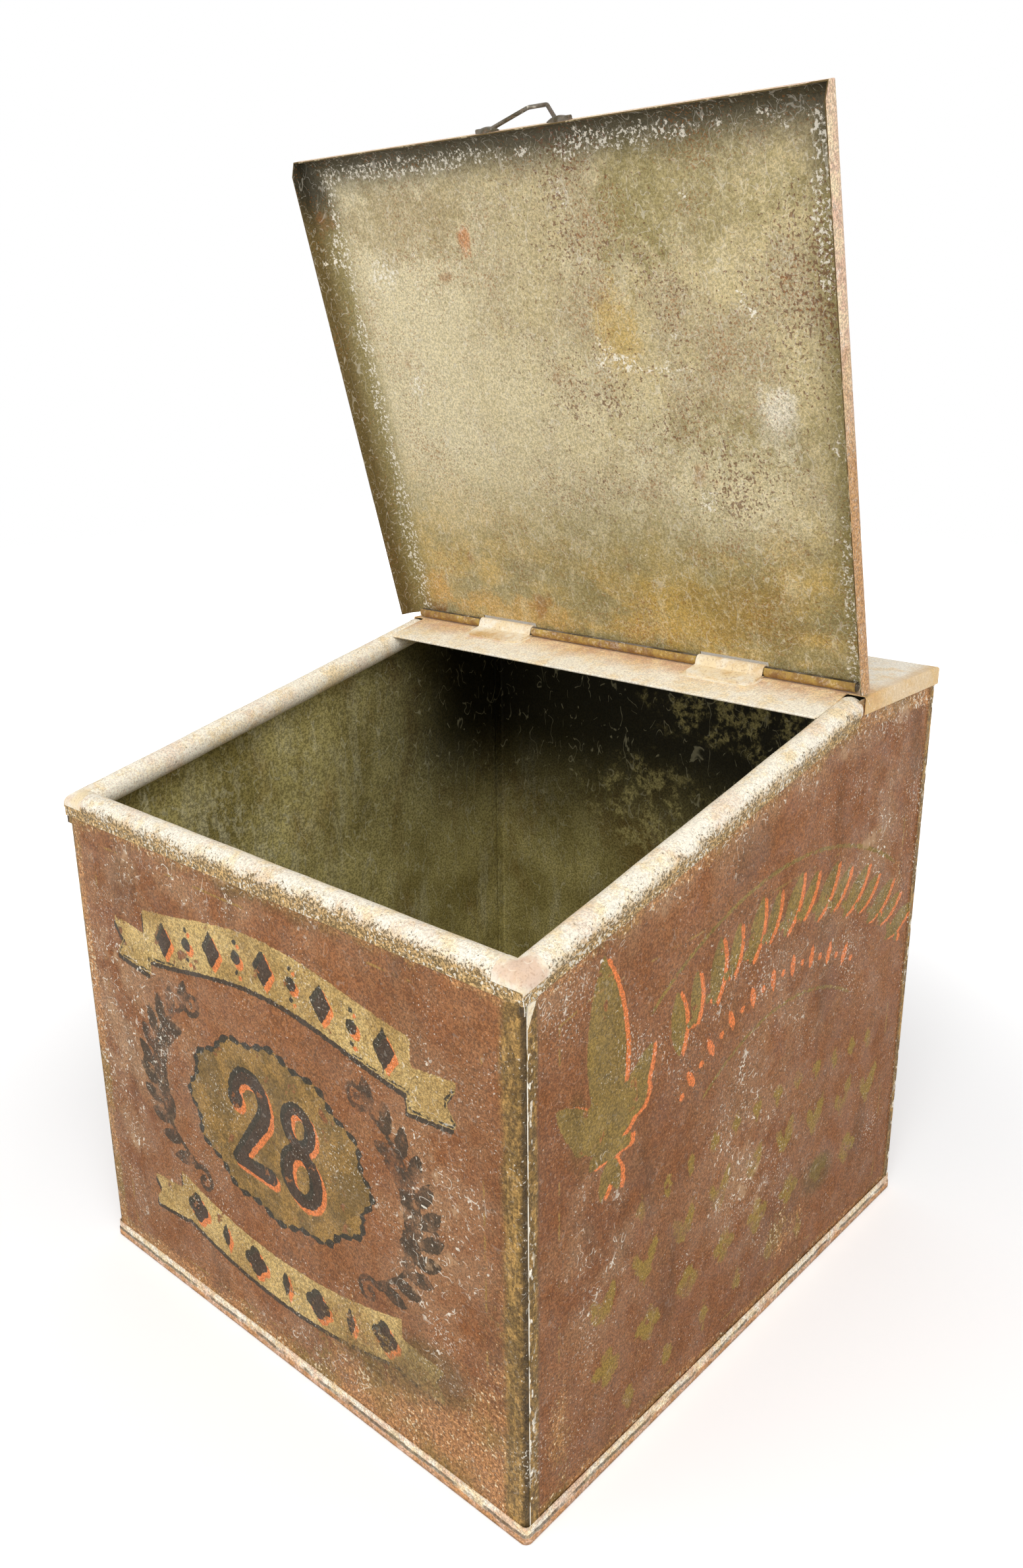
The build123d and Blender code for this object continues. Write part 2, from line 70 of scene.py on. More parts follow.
PITCH = 1.8 * MM  # size of the walls' faces
LID_PITCH = 1.9 * MM  # size of the lid's faces
TURN_STEPS = 24  # faces round a turned solid
CREASE = radians(32)  # edges sharper than this look sharp
ROLL_SAG = 0.25 * MM  # unevenness of the rolled rim
LID_BULGE = 1.1 * MM  # unevenness of the lid
FADE_IN = 50 * MM  # over this length unevenness grows from nothing
DRAWN_REACH = 60  # drawn distances end here, in millimetres
SPECULAR = 0.18  # old paint and dull metal
SENSOR = 36  # width of the camera's picture plane, in millimetres


def length(name, description, default):
    """A size property in metres whose default is given in millimetres."""
    return FloatProperty(name=name, description=description, default=default * MM, unit="LENGTH", precision=4)


def share(name, description, default):
    """A plain number property."""
    return FloatProperty(name=name, description=description, default=default)


def turn(name, description, default):
    """An angle property whose default is given in degrees."""
    return FloatProperty(name=name, description=description, default=radians(default), subtype="ANGLE")


def power(name, description, default):
    """A lamp's power in watts."""
    return FloatProperty(name=name, description=description, default=default, unit="POWER")


def tint(name, description, *shown):
    """A colour property whose default is given as it looks on a screen, from 0 to 255. Each
    channel's light is the screen's standard curve undone."""
    shown = np.array(shown) / 255
    light = tuple(np.where(shown <= 0.04045, shown / 12.92, ((shown + 0.055) / 1.055) ** 2.4))
    return FloatVectorProperty(name=name, description=description, default=light, size=3, subtype="COLOR")


class TEABIN_PG_sizes(bpy.types.PropertyGroup):
    """Sizes of the bin's sheets, seams, rolled rim and lid."""

    sheet: length("Sheet", "Thickness of the tinplate", 0.6)
    seam_gap: length("Seam gap", "Play between sheets that lap", 0.1)
    front_lap: length("Front lap", "Width of the front corners' lap band", 9.0)
    rear_lap: length("Rear lap", "Width of the rear corners' lap band", 7.0)
    lap_end_gap: length("Lap end gap", "From a flange's end to the side wall's step", 0.3)
    joggle: length("Joggle", "Length of the step beside a lap band", 1.0)
    bend_radius: length("Bend radius", "Outer radius of the front wall's corners", 3.0)
    front_setback: length("Front setback", "From the front face to the side wall's edge", 3.0)
    rear_setback: length("Rear setback", "From the back face to the side wall's edge", 2.0)
    rim_diameter: length("Rim diameter", "Diameter of the rolled rim", 14.5)
    lip_setback: length("Lip setback", "How far the rim's lip stands outside the wall", 0.3)
    neck_radius: length("Neck radius", "Rounding under the roll", 0.8)
    neck_share: share("Neck share", "Depth of the neck in rim radii", 0.69)
    lip_share: share("Lip share", "Depth of the lip in rim radii", 0.91)
    wall_share: share("Wall share", "Depth of the side wall's top in rim radii", 0.97)
    corner_share: share("Corner share", "Depth of the front corners' top in rim radii", 1.52)
    roll_end_setback: length("Roll end setback", "From the break to the roll's closed end", 3.5)
    strip_drop: length("Strip drop", "How far the strip lies under the rim's crest", 0.5)
    shelf_depth: length("Shelf depth", "Depth of the flat shelf", 86.0)
    dent: length("Dent", "Depth of the walls' gentle dents", 0.7)
    lid_fold: length("Lid fold", "Outer radius of the lid's soft folds", 8.6)
    lid_flange: length("Lid flange", "Depth of the lid's flange", 15.0)
    knuckle_radius: length("Knuckle radius", "Outer radius of the curl round the wire", 3.15)
    notch_reach: length("Notch reach", "How far the straps' notches reach into the lid", 3.9)
    notch_half: length("Notch half", "Half the width of a notch", 22.0)
    strap_spread: length("Strap spread", "From a strap's middle to the bin's middle", 83.0)
    rear_reach: length("Rear reach", "How far the side folds reach behind the hinge", 1.0)
    rear_slant: length("Rear slant", "Slant of the side flanges' rear ends", 4.0)
    front_band: length("Front band", "Width of the varnish at the front's corners", 12.0)
    corner_clip: length("Corner clip", "Length of the clip at the lid's front corners", 7.0)
    clip_share: share("Clip share", "Depth of the clip as a share of its length", 0.55)
    open_angle: turn("Open angle", "How far the lid stands open from level", 105.5)
    curl_angle: turn("Curl angle", "How far the curl goes round the wire", 240.0)


class TEABIN_PG_colours(bpy.types.PropertyGroup):
    """Colours of paint, varnish, bare metal and rust, and of the shade painted under the shelf and in the
    lid's front fold.
    """

    paint: tint("Paint", "Reddish brown paint of the walls", 147, 94, 54)
    paint_dark: tint("Dark paint", "Paint that has darkened", 105, 63, 34)
    haze: tint("Haze", "Pale bloom on old paint", 190, 155, 118)
    gold: tint("Gold", "Gold leaf of the ribbons", 204, 174, 112)
    old_gold: tint("Old gold", "Darkened gold", 152, 118, 64)
    dim_gold: tint("Dim gold", "Gold of the sides, gone olive", 146, 120, 54)
    ink: tint("Ink", "Dark lines and figures", 54, 50, 40)
    orange: tint("Orange", "Bright edges of the figures", 218, 124, 68)
    varnish: tint("Varnish", "Olive varnish at corners and laps", 138, 112, 62)
    varnish_dark: tint("Dark varnish", "Grime in the varnish", 96, 78, 44)
    ochre: tint("Ochre", "Yellow streaks along seams and rim", 212, 168, 96)
    tan: tint("Tan", "Paint worn to its ground", 200, 154, 102)
    rust_sand: tint("Rusty sand", "Brown grains in worn places", 142, 98, 60)
    rust_tan: tint("Rusty tan", "Orange tan stains", 206, 152, 100)
    blush: tint("Blush", "Pinkish worn metal", 222, 186, 160)
    cream: tint("Cream", "Bare metal that catches the light", 243, 223, 184)
    straw: tint("Straw", "Yellowed bare metal", 240, 206, 150)
    white: tint("White", "Scuffs and flakes", 250, 242, 224)
    rust: tint("Rust", "Rust spots", 150, 92, 40)
    rust_red: tint("Red rust", "Pits under the lid", 116, 78, 54)
    rust_dark: tint("Dark rust", "Pits and grime", 62, 50, 34)
    inside: tint("Inside", "Dull olive metal inside the bin", 196, 184, 122)
    inside_dark: tint("Dark inside", "Stained metal inside the bin", 134, 122, 70)
    inside_pale: tint("Pale inside", "Scratches and bare patches inside", 206, 200, 164)
    # Painted shadow: a near-black colour laid inside the bin under the shelf, where its shade falls.
    shelf_shadow: tint("Soot", "Grime under the shelf", 18, 17, 10)
    lid: tint("Lid", "Khaki varnish under the lid", 202, 184, 138)
    lid_pale: tint("Pale lid", "Varnish that stayed pale", 224, 210, 172)
    lid_grey: tint("Grey lid", "Varnish dulled by handling", 182, 166, 130)
    lid_olive: tint("Lid olive", "Olive varnish near the folds", 146, 132, 82)
    lid_yellow: tint("Lid yellow", "Yellowed varnish near the hinge", 200, 164, 82)
    # Painted shade with some grime: the lid shadow and the darkest shade darken the varnish in the lid's
    # front fold; the iron also takes the lid shadow as its darker tone.
    lid_shadow: tint("Lid shadow", "Dark varnish by the front fold", 72, 66, 48)
    lid_deepest_shade: tint("Lid deep", "Darkest varnish, in the front fold", 48, 44, 34)
    steel: tint("Steel", "Iron wire", 124, 118, 108)
    floor: tint("Floor", "Pale floor and backdrop", 250, 250, 250)


class TEABIN_PG_stage(bpy.types.PropertyGroup):
    """Camera, lamps and floor."""

    camera_place: FloatVectorProperty(
        name="Camera place", description="Where the camera stands", default=(0.4572, -0.5036, 0.5093), size=3,
        subtype="TRANSLATION", unit="LENGTH",
    )
    camera_azimuth: turn("Camera azimuth", "Turn of the view from the front", 42.069)
    camera_elevation: turn("Camera elevation", "Height of the view", 18.617)
    camera_roll: turn("Camera roll", "Tilt of the picture", -0.587)
    lens: FloatProperty(name="Lens", description="Focal length in millimetres", default=29.605, unit="CAMERA")
    floor_size: length("Floor size", "Width of the floor", 6000.0)
    floor_lift: share("Floor lift", "Extra brightness of the floor where it is seen", 0.2)
    key_power: power("Key power", "Power of the upper lamp", 24.0)
    low_power: power("Low power", "Power of the front lamp", 9.0)
    side_power: power("Side power", "Power of the right lamp", 8.0)
    sky_strength: share("Sky strength", "Strength of the light from all round", 0.45)


def arc(radius, start, end, count):
    """Points on a circle about the origin, turned evenly from the start angle to the end angle."""
    angle = np.radians(np.linspace(start, end, count))
    return radius * np.column_stack((np.cos(angle), np.sin(angle)))


def run(start, end, count):
    """Evenly spaced points from start to end: start plus a growing share of the way."""
    step = np.linspace(0, 1, count)[:, None]
    return (1 - step) * np.asarray(start, float) + step * np.asarray(end, float)


def runs(stops, counts):
    """Runs from stop to stop, joined end to end."""
    parts = [run(*ends, count)[:-1] for *ends, count in zip(stops, stops[1:], counts)]
    return np.concatenate((*parts, [stops[-1]]))


def rounding(before, corner, after, radius, count):
    """Points on the arc that rounds a corner. Its centre lies on the corner's bisector, at the
    radius divided by the sine of half the angle between both legs."""
    before, corner, after = (np.asarray(p, float) for p in (before, corner, after))
    leg, other = ((p - corner) / np.linalg.norm(p - corner) for p in (before, after))
    half = acos(float(np.clip(leg @ other, -1, 1))) / 2
    centre = corner + (leg + other) / np.linalg.norm(leg + other) * radius / sin(half)
    first, last = (corner + way * radius / tan(half) - centre for way in (leg, other))
    start = atan2(first[1], first[0])
    sweep = (atan2(last[1], last[0]) - start + np.pi) % (2 * np.pi) - np.pi
    return centre + arc(radius, degrees(start), degrees(start + sweep), count)


def grid_cells(index):
    """Four-cornered faces of a grid of point numbers, whose front is along crossed with up."""
    corners = (index[:-1, :-1], index[:-1, 1:], index[1:, 1:], index[1:, :-1])
    return np.stack(corners, -1).reshape(-1, 4)


class Piece:
    """A mesh made of closed shells, each turned outward by the sign of its volume."""

    def __init__(self, *fields):
        self.points, self.faces, self.slots = [], [], []
        self.fields = {name: [] for name in fields}

    def add(self, points, faces, slots, **fields):
        """Adds a closed shell. Its volume is a third of the sum over its faces of a corner dotted
        with the face's area vector, and where that is negative every face is turned round."""
        corners = points[faces]
        area = np.cross(corners[:, 2] - corners[:, 0], corners[:, 3] - corners[:, 1]) / 2
        if np.sum(corners[:, 0] * area) < 0:
            faces = faces[:, ::-1]
        self.faces.append(faces + sum(map(len, self.points)))
        self.points.append(points)
        self.slots.append(np.broadcast_to(slots, len(faces)))
        for name, values in self.fields.items():
            values.append(np.broadcast_to(fields.get(name, 0.0), len(points)))

    def add_sheet(self, outer, inner, outer_slot, inner_slot, edge_slot, **fields):
        """Adds a bent sheet: the grid of its outer face, the grid of its inner face turned round,
        and a strip round all four edges that joins them."""
        shape = outer.shape[:2]
        total = shape[0] * shape[1]
        index = np.arange(total).reshape(shape)
        ring = np.concatenate((index[0, :-1], index[:-1, -1], index[-1, :0:-1], index[:0:-1, 0]))
        after = np.roll(ring, -1)
        front = grid_cells(index)
        edge = np.stack((after, ring, ring + total, after + total), -1)
        slots = [np.broadcast_to(slot, len(front)) for slot in (outer_slot, inner_slot)]
        both = {name: np.tile(np.broadcast_to(value, shape).ravel(), 2) for name, value in fields.items()}
        self.add(
            np.concatenate((outer.reshape(-1, 3), inner.reshape(-1, 3))),
            np.concatenate((front, front[:, ::-1] + total, edge)),
            np.concatenate((*slots, np.full(len(ring), edge_slot))), **both,
        )

    def add_turned(self, profile, centre, axis, side, slot, **fields):
        """Adds a closed solid of revolution: each profile point (radius, height) goes round the
        axis, and the end points lie on it. Faces at a pole have two corners in one point."""
        angle = np.linspace(0, 2 * np.pi, TURN_STEPS, endpoint=False)[:, None]
        axis, side = np.asarray(axis, float), np.asarray(side, float)
        spokes = np.cos(angle) * side + np.sin(angle) * np.cross(axis, side)
        body = profile[1:-1]
        points = centre + body[:, None, :1] * spokes + body[:, None, 1:] * axis
        index = np.arange(len(body) * TURN_STEPS).reshape(-1, TURN_STEPS)
        index = np.concatenate((index, index[:, :1]), 1)
        faces = [grid_cells(index)]
        for row, pole in ((index[0, ::-1], index[-1, -2] + 1), (index[-1], index[-1, -2] + 2)):
            faces.append(np.column_stack((np.full((TURN_STEPS, 2), pole), row[:-1], row[1:])))
        points = np.concatenate((points.reshape(-1, 3), centre + profile[[0, -1], 1:] * axis))
        self.add(points, np.concatenate(faces), slot, **fields)

    def finish(self, name, body, slot, replaced, materials):
        """Makes the mesh, drops the doubled corner of pole faces, and hands the piece to the frame."""
        points, faces = np.concatenate(self.points), np.concatenate(self.faces)
        mesh = bpy.data.meshes.new(name)
        kept = faces != np.roll(faces, 1, axis=1)
        starts = np.concatenate(([0], np.cumsum(kept.sum(1))[:-1]))
        mesh.vertices.add(len(points))
        mesh.vertices.foreach_set("co", points.astype(np.float32).ravel())
        mesh.loops.add(int(kept.sum()))
        mesh.loops.foreach_set("vertex_index", faces[kept].astype(np.int32))
        mesh.polygons.add(len(faces))
        mesh.polygons.foreach_set("loop_start", starts.astype(np.int32))
        mesh.polygons.foreach_set("material_index", np.concatenate(self.slots).astype(np.int32))
        mesh.update(calc_edges=True)
        if mesh.validate():
            raise RuntimeError(f"{name}: the mesh had faults")
        for field, values in self.fields.items():
            held = mesh.attributes.new(field, "FLOAT", "POINT")
            held.data.foreach_set("value", np.concatenate(values).astype(np.float32))
        mesh.shade_smooth()
        mesh.set_sharp_from_angle(angle=CREASE)
        for material in materials:
            mesh.materials.append(material)
        made = bpy.data.objects.new(name, mesh)
        bpy.context.scene.collection.objects.link(made)
        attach(made, body)
        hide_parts(replaced)


class Mouth:
    """The mouth's slope and the rolled rim's places, worked out from the sizes as the part does."""

    def __init__(self, sizes):
        self.half_width = BACK_HIGH.x + sizes.seam_gap + sizes.sheet
        self.half_depth = BACK_HIGH.y
        self.radius = sizes.rim_diameter / 2
        self.bore = self.radius - sizes.sheet
        self.overhang = sizes.sheet + sizes.seam_gap + sizes.lip_setback
        self.front_inset = self.radius - self.overhang
        self.side_inset = self.front_inset - sizes.sheet
        self.x = self.half_width - self.front_inset
        self.y = self.front_inset - self.half_depth
        self.z = FRONT_HIGH.z - self.radius
        rise, back = SHELF_HIGH.z - self.z, self.half_depth - sizes.shelf_depth - self.y
        slope = atan2(rise, back) - asin((self.radius - sizes.strip_drop) / hypot(rise, back))
        self.run, self.rise = cos(slope), sin(slope)
        self.roll_length = (back - sizes.roll_end_setback) / self.run
        self.end = np.array((self.x, self.y, self.z)) + self.roll_length * np.array((0, self.run, self.rise))
        self.wall_drop = self.radius * sizes.wall_share
        self.corner_drop = self.radius * sizes.corner_share

    def wall_line(self, y):
        """Height of the side wall's top under the roll: the roll's axis less a share of its radius."""
        along = np.minimum(y, self.end[1]) - self.y
        return self.z - self.wall_drop / self.run + along * self.rise / self.run


# Rows of the rim's section: up the wall, round its neck, round the roll and down the lip, and the
# share of the way round at which the lip begins
WALL_ROWS, NECK_ROWS, ROLL_ROWS, LIP_ROWS = 4, 5, 40, 3
LIP_START = 0.88


def rim_section(sizes, mouth, inset, drop):
    """Both faces of a wall's rolled top, paired point by point: up the wall, through the rounded
    neck, round the roll on its bore or its outside, and down the lip. The third result is how far
    each pair has gone round the roll, from 0 at the neck to 1 at the lip's end."""
    neck = mouth.radius * sizes.neck_share
    touch = 180 + degrees(atan2(neck, inset) + acos(mouth.bore / hypot(inset, neck)))
    lip = inset + sizes.seam_gap
    faces = []
    for radius, step in ((mouth.bore, 0), (mouth.radius, sizes.sheet)):
        meet = arc(radius, touch, touch, 1)[0]
        foot = (step - inset, -drop)
        corner_z = -neck if step == 0 else meet[1] + (meet[0] + inset - sizes.sheet) / tan(radians(touch))
        neck_arc = rounding(foot, (step - inset, corner_z), meet, sizes.neck_radius - step, NECK_ROWS)
        roll = arc(radius, touch, 540 + degrees(acos((lip + step) / radius)), ROLL_ROWS)
        lip_run = run(roll[-1], (-lip - step, -mouth.radius * sizes.lip_share), LIP_ROWS + 1)[1:]
        faces.append(np.concatenate((run(foot, neck_arc[0], WALL_ROWS + 1)[:-1], neck_arc, roll, lip_run)))
    stops = (0, ROLL_ROWS - 1, ROLL_ROWS + LIP_ROWS - 1)
    around = np.interp(np.arange(ROLL_ROWS + LIP_ROWS), stops, (0, LIP_START, 1))
    return *faces, np.concatenate((np.zeros(WALL_ROWS + NECK_ROWS), around))


PAINT_SLOT, INSIDE_SLOT, RIM_SLOT, EDGE_SLOT = range(4)

# Values stored in the walls: distances to the drawn shapes, and wear
GAPS = ("gold", "cast", "ink", "glow", "leaf", "line")
WEAR = ("scuff", "sand", "tarnish", "grime")


def ease(value, low=0, high=1):
    """Smooth step from 0 at low to 1 at high: three times the square of the share less twice its cube."""
    t = np.clip((value - low) / (high - low), 0, 1)
    return t * t * (3 - 2 * t)


def dents(across, up, depth, half, low, high):
    """Gentle unevenness of a wall: three slow waves of unlike length and direction, times a window
    that falls to nothing at the wall's edges."""
    wave = (
        np.sin(across * 21 + up * 9 + 0.6) * 0.5
        + np.sin(across * -13 + up * 26 + 2.1) * 0.35
        + np.sin(across * 43 + up * 31 + 4.0) * 0.15
    )
    sides = np.clip((half - np.abs(across)) / (0.25 * half), 0, 1)
    ends = np.clip((up - low) / FADE_IN, 0, 1) * np.clip((high - up) / (0.8 * FADE_IN), 0, 1)
    return depth * wave * ease(sides * ends)


def union(*gaps):
    """Union of shapes: the least of their signed distances."""
    return reduce(np.minimum, gaps)


def disc_gap(x, z, radius):
    """Signed distance to a disc about the origin."""
    return np.hypot(x, z) - radius


def ellipse_gap(x, z, wide, high):
    """Signed distance to an ellipse, near enough: the scaled radius less one, divided by its slope."""
    scaled = np.hypot(x / wide, z / high) + 1e-9
    slope = np.hypot(x / wide**2, z / high**2) / scaled
    return (scaled - 1) / np.maximum(slope, 1e-9)


def box_gap(x, z, wide, high, radius=0.0):
    """Signed distance to a rectangle with rounded corners, from its half sizes."""
    over_x, over_z = np.abs(x) - wide + radius, np.abs(z) - high + radius
    outside = np.hypot(np.maximum(over_x, 0), np.maximum(over_z, 0))
    return outside + np.minimum(np.maximum(over_x, over_z), 0) - radius


def leaf_gap(x, z, stem_x, stem_z, angle, long, wide):
    """Signed distance to a pointed leaf: the overlap of two circles whose arcs meet at both tips.
    The stem end lies at the given point and the leaf grows along the angle."""
    c, s = cos(radians(angle)), sin(radians(angle))
    along = (x - stem_x) * c + (z - stem_z) * s - long / 2
    off = (z - stem_z) * c - (x - stem_x) * s
    radius = (long**2 / 4 + wide**2 / 4) / wide
    return np.hypot(along, np.abs(off) + radius - wide / 2) - radius


def diamond_gap(x, z, wide, high):
    """Signed distance to a diamond with the given half sizes."""
    return (np.abs(x) / wide + np.abs(z) / high - 1) * wide * high / hypot(wide, high)


def quatrefoil_gap(x, z, reach, radius):
    """Signed distance to four circles set crosswise about the origin."""
    return union(disc_gap(np.abs(x) - reach, z, radius), disc_gap(x, np.abs(z) - reach, radius))


def stroke_gap(x, z, points, wide):
    """Signed distance to a stroke of the given half widths along a polyline: the least distance to
    any of its runs."""
    gaps = []
    widths = np.broadcast_to(wide, len(points))
    for (ax, az), (bx, bz), w0, w1 in zip(points[:-1], points[1:], widths[:-1], widths[1:]):
        dx, dz = bx - ax, bz - az
        t = np.clip(((x - ax) * dx + (z - az) * dz) / (dx * dx + dz * dz), 0, 1)
        gaps.append(disc_gap(x - ax - t * dx, z - az - t * dz, w0 + (w1 - w0) * t))
    return union(*gaps)


def volute_gap(x, z, centre_x, centre_z, radius, turns, start, hand, wide):
    """Signed distance to a volute: its radius shrinks evenly with the angle, and its stroke thins
    towards a round eye."""
    t = np.linspace(0, 1, 26)
    angle = np.radians(start) + hand * 2 * np.pi * turns * t
    reach = radius * (1 - 0.82 * t)
    path = np.column_stack((centre_x + reach * np.cos(angle), centre_z + reach * np.sin(angle)))
    eye = disc_gap(x - path[-1, 0], z - path[-1, 1], wide * 1.2)
    return union(stroke_gap(x, z, path, np.linspace(wide, wide * 0.5, len(path))), eye)


# The drawings below are in millimetres: x from the wall's middle, z from the floor
MEDALLION_Z, ARCH_Y, ARCH_Z = 139, 28, 62
GLOW_SHIFT, CAST_SHIFT, SIDE_GLOW_SHIFT = (2.6, -2.2), (-1.2, -2.8), (3.3, -1.2)
BOW_STEP, SWAG_STEP = 21, 25


def rim_line(y):
    """Height at which a side's sloping rim begins."""
    return 272 + (y + 165) * 0.2128


def bow_z(x):
    """Height of the upper ribbon's middle: a cosine."""
    return 226 + 7 * np.cos(x / 38)


def swag_z(x):
    """Height of the lower ribbon's middle: a parabola."""
    return 52 + 15 * (x / 90) ** 2


def number_gap(x, z):
    """Signed distance to the number 28: the 2 is a stroke along a hook, a slant and a foot, the 8
    is two rings one on the other."""
    hook = arc(1, 172, -38, 12) * (12.5, 13.5) + (-20, 153)
    path = np.concatenate((hook, ((-33.5, 114), (-6, 114))))
    widths = np.concatenate((np.linspace(4.4, 5.4, 12), (3.8, 5.0)))
    marks = [stroke_gap(x, z, path, widths), disc_gap(x + 31.5, z - 150, 6.2)]
    for up, wide, high, hole_wide, hole_high in ((154, 13.5, 13.5, 5, 7), (126, 16.5, 17.5, 6.5, 9.5)):
        hole = ellipse_gap(x - 19, z - up, hole_wide, hole_high)
        marks.append(np.maximum(ellipse_gap(x - 19, z - up, wide, high), -hole))
    return union(*marks)


def ground_gaps(x, z):
    """Signed distances to the front's gold grounds: the lobed medallion, the bowed ribbon and the
    hanging ribbon, both with swallow-tailed ends."""
    side, up = np.abs(x), z - MEDALLION_Z
    lobes = 1 + 0.035 * np.cos(12 * np.arctan2(up / 50, x / 70))
    tails = box_gap(side - 113, z - 210 - 0.12 * (side - 113), 15, 11.5, 0.5)
    tails = np.maximum(tails, -diamond_gap(side - 131, z - 211, 9, 12))
    ends = box_gap(side - 100, z - 58 + 0.1 * (side - 100), 15, 10, 0.5)
    ends = np.maximum(ends, -diamond_gap(side - 118, z - 58, 8, 10))
    swag = box_gap(x, (z - swag_z(x)) / np.hypot(1, x / 270), 88, 13.5, 1)
    return (
        ellipse_gap(x / lobes, up / lobes, 70, 49),
        union(box_gap(x, z - bow_z(x), 101, 14.5, 1), tails), union(swag, ends),
    )


def mark_gap(x, z):
    """Signed distance to the number and to the diamonds, dots and quatrefoils on both ribbons."""
    marks = [number_gap(x, z)]
    for k in range(-4, 5):
        dx, dz = x - BOW_STEP * k, z - bow_z(BOW_STEP * k)
        if k % 2:
            marks += [disc_gap(dx, dz, 3.8), disc_gap(dx, np.abs(dz) - 8.2, 1.6)]
        else:
            marks.append(diamond_gap(dx, dz, 7.6, 10.5))
    for k in range(-3, 4):
        dx, dz = x - SWAG_STEP * k, z - swag_z(SWAG_STEP * k)
        marks.append(quatrefoil_gap(dx, dz, 4.8, 4.4) if k % 2 else diamond_gap(dx, dz, 3.4, 9.5))
    return union(*marks)


def branch_gap(x, z):
    """Signed distance to the leafy branches beside the medallion: a stem on an oval, leaves to both
    sides of it, berries, and a volute at either end."""
    x = np.abs(x)
    middle, oval = np.array((20, MEDALLION_Z)), (84, 60)
    marks = [
        stroke_gap(x, z, middle + arc(1, -52, 52, 20) * oval, 1.3),
        volute_gap(x, z, 66, 84, 9, 1.1, 40, 1, 1.9), volute_gap(x, z, 64, 192, 8, 1.1, -40, -1, 1.8),
    ]
    for k, angle in enumerate(np.linspace(-50, 50, 11)):
        way = arc(1, angle, angle, 1)[0]
        at_x, at_z = middle + way * oval
        along = degrees(atan2(oval[1] * way[0], -oval[0] * way[1]))
        for hand in (1, -1) if abs(angle) < 32 else (1,):
            marks.append(leaf_gap(x, z, at_x, at_z, along - hand * 44, 19, 8.4))
        if k % 2:
            marks.append(disc_gap(x - at_x - 9, z - at_z - 2, 2.3))
    return union(*marks)


def front_drawing(x, z):
    """Artwork of the front: a lobed medallion with a plain number, a bowed ribbon above it and a
    hanging one below, each with set ornaments, a leafy branch at either side and a border line.
    Every shape is a signed distance."""
    medallion, upper, lower = ground_gaps(x, z)
    cast = ground_gaps(x - CAST_SHIFT[0], z - CAST_SHIFT[1])
    ring = np.abs(medallion + 0.4) - 1.5 - 0.9 * np.cos(44 * np.arctan2((z - MEDALLION_Z) / 50, x / 70))
    edge = np.maximum(np.abs(upper + 1.2) - 0.7, z - 206 - 0.1 * np.abs(x))
    grounds = union(medallion, upper, lower)
    glow = np.maximum(mark_gap(x - GLOW_SHIFT[0], z - GLOW_SHIFT[1]), grounds)
    line = box_gap(x, z - 140, 143, 121, 7)
    return grounds, union(*cast[1:]), union(mark_gap(x, z), ring, edge), glow, branch_gap(x, z), line


def on_arch(radius, angle):
    """A point of the sides' arch, at an angle from its top."""
    return ARCH_Y + radius * sin(radians(angle)), ARCH_Z + radius * cos(radians(angle))


def garland_gap(y, z):
    """Signed distance to a side's gold shapes: an arch of leaves and dots, all leaning one way, and
    at the front a plume of three leaves over two volutes, a bar and two lower leaves."""
    marks = [
        volute_gap(y, z, -133, 192, 14, 1.2, -30, 1, 3.4), volute_gap(y, z, -100, 194, 13, 1.2, 210, -1, 3.2),
        box_gap(y + 117, z - 176, 15, 3.2, 1.5),
    ]
    for k in range(15):
        small, place = k % 2, -34 + 5.4 * k
        stem = on_arch(166 + 3 * small, place)
        marks.append(leaf_gap(y, z, *stem, 62 - place, 36 - 6 * small, 11.5 - 3 * small))
        dot_y, dot_z = on_arch(174, place + 4.6)
        marks.append(disc_gap(y - dot_y, z - dot_z, 2.4))
    for up, angle, long, wide in (
        (176, 94, 98, 27), (176, 134, 54, 17), (176, 54, 52, 17), (174, 252, 22, 8), (174, 288, 22, 8),
    ):
        marks.append(leaf_gap(y, z, -117, up, angle, long, wide))
    return union(*marks)


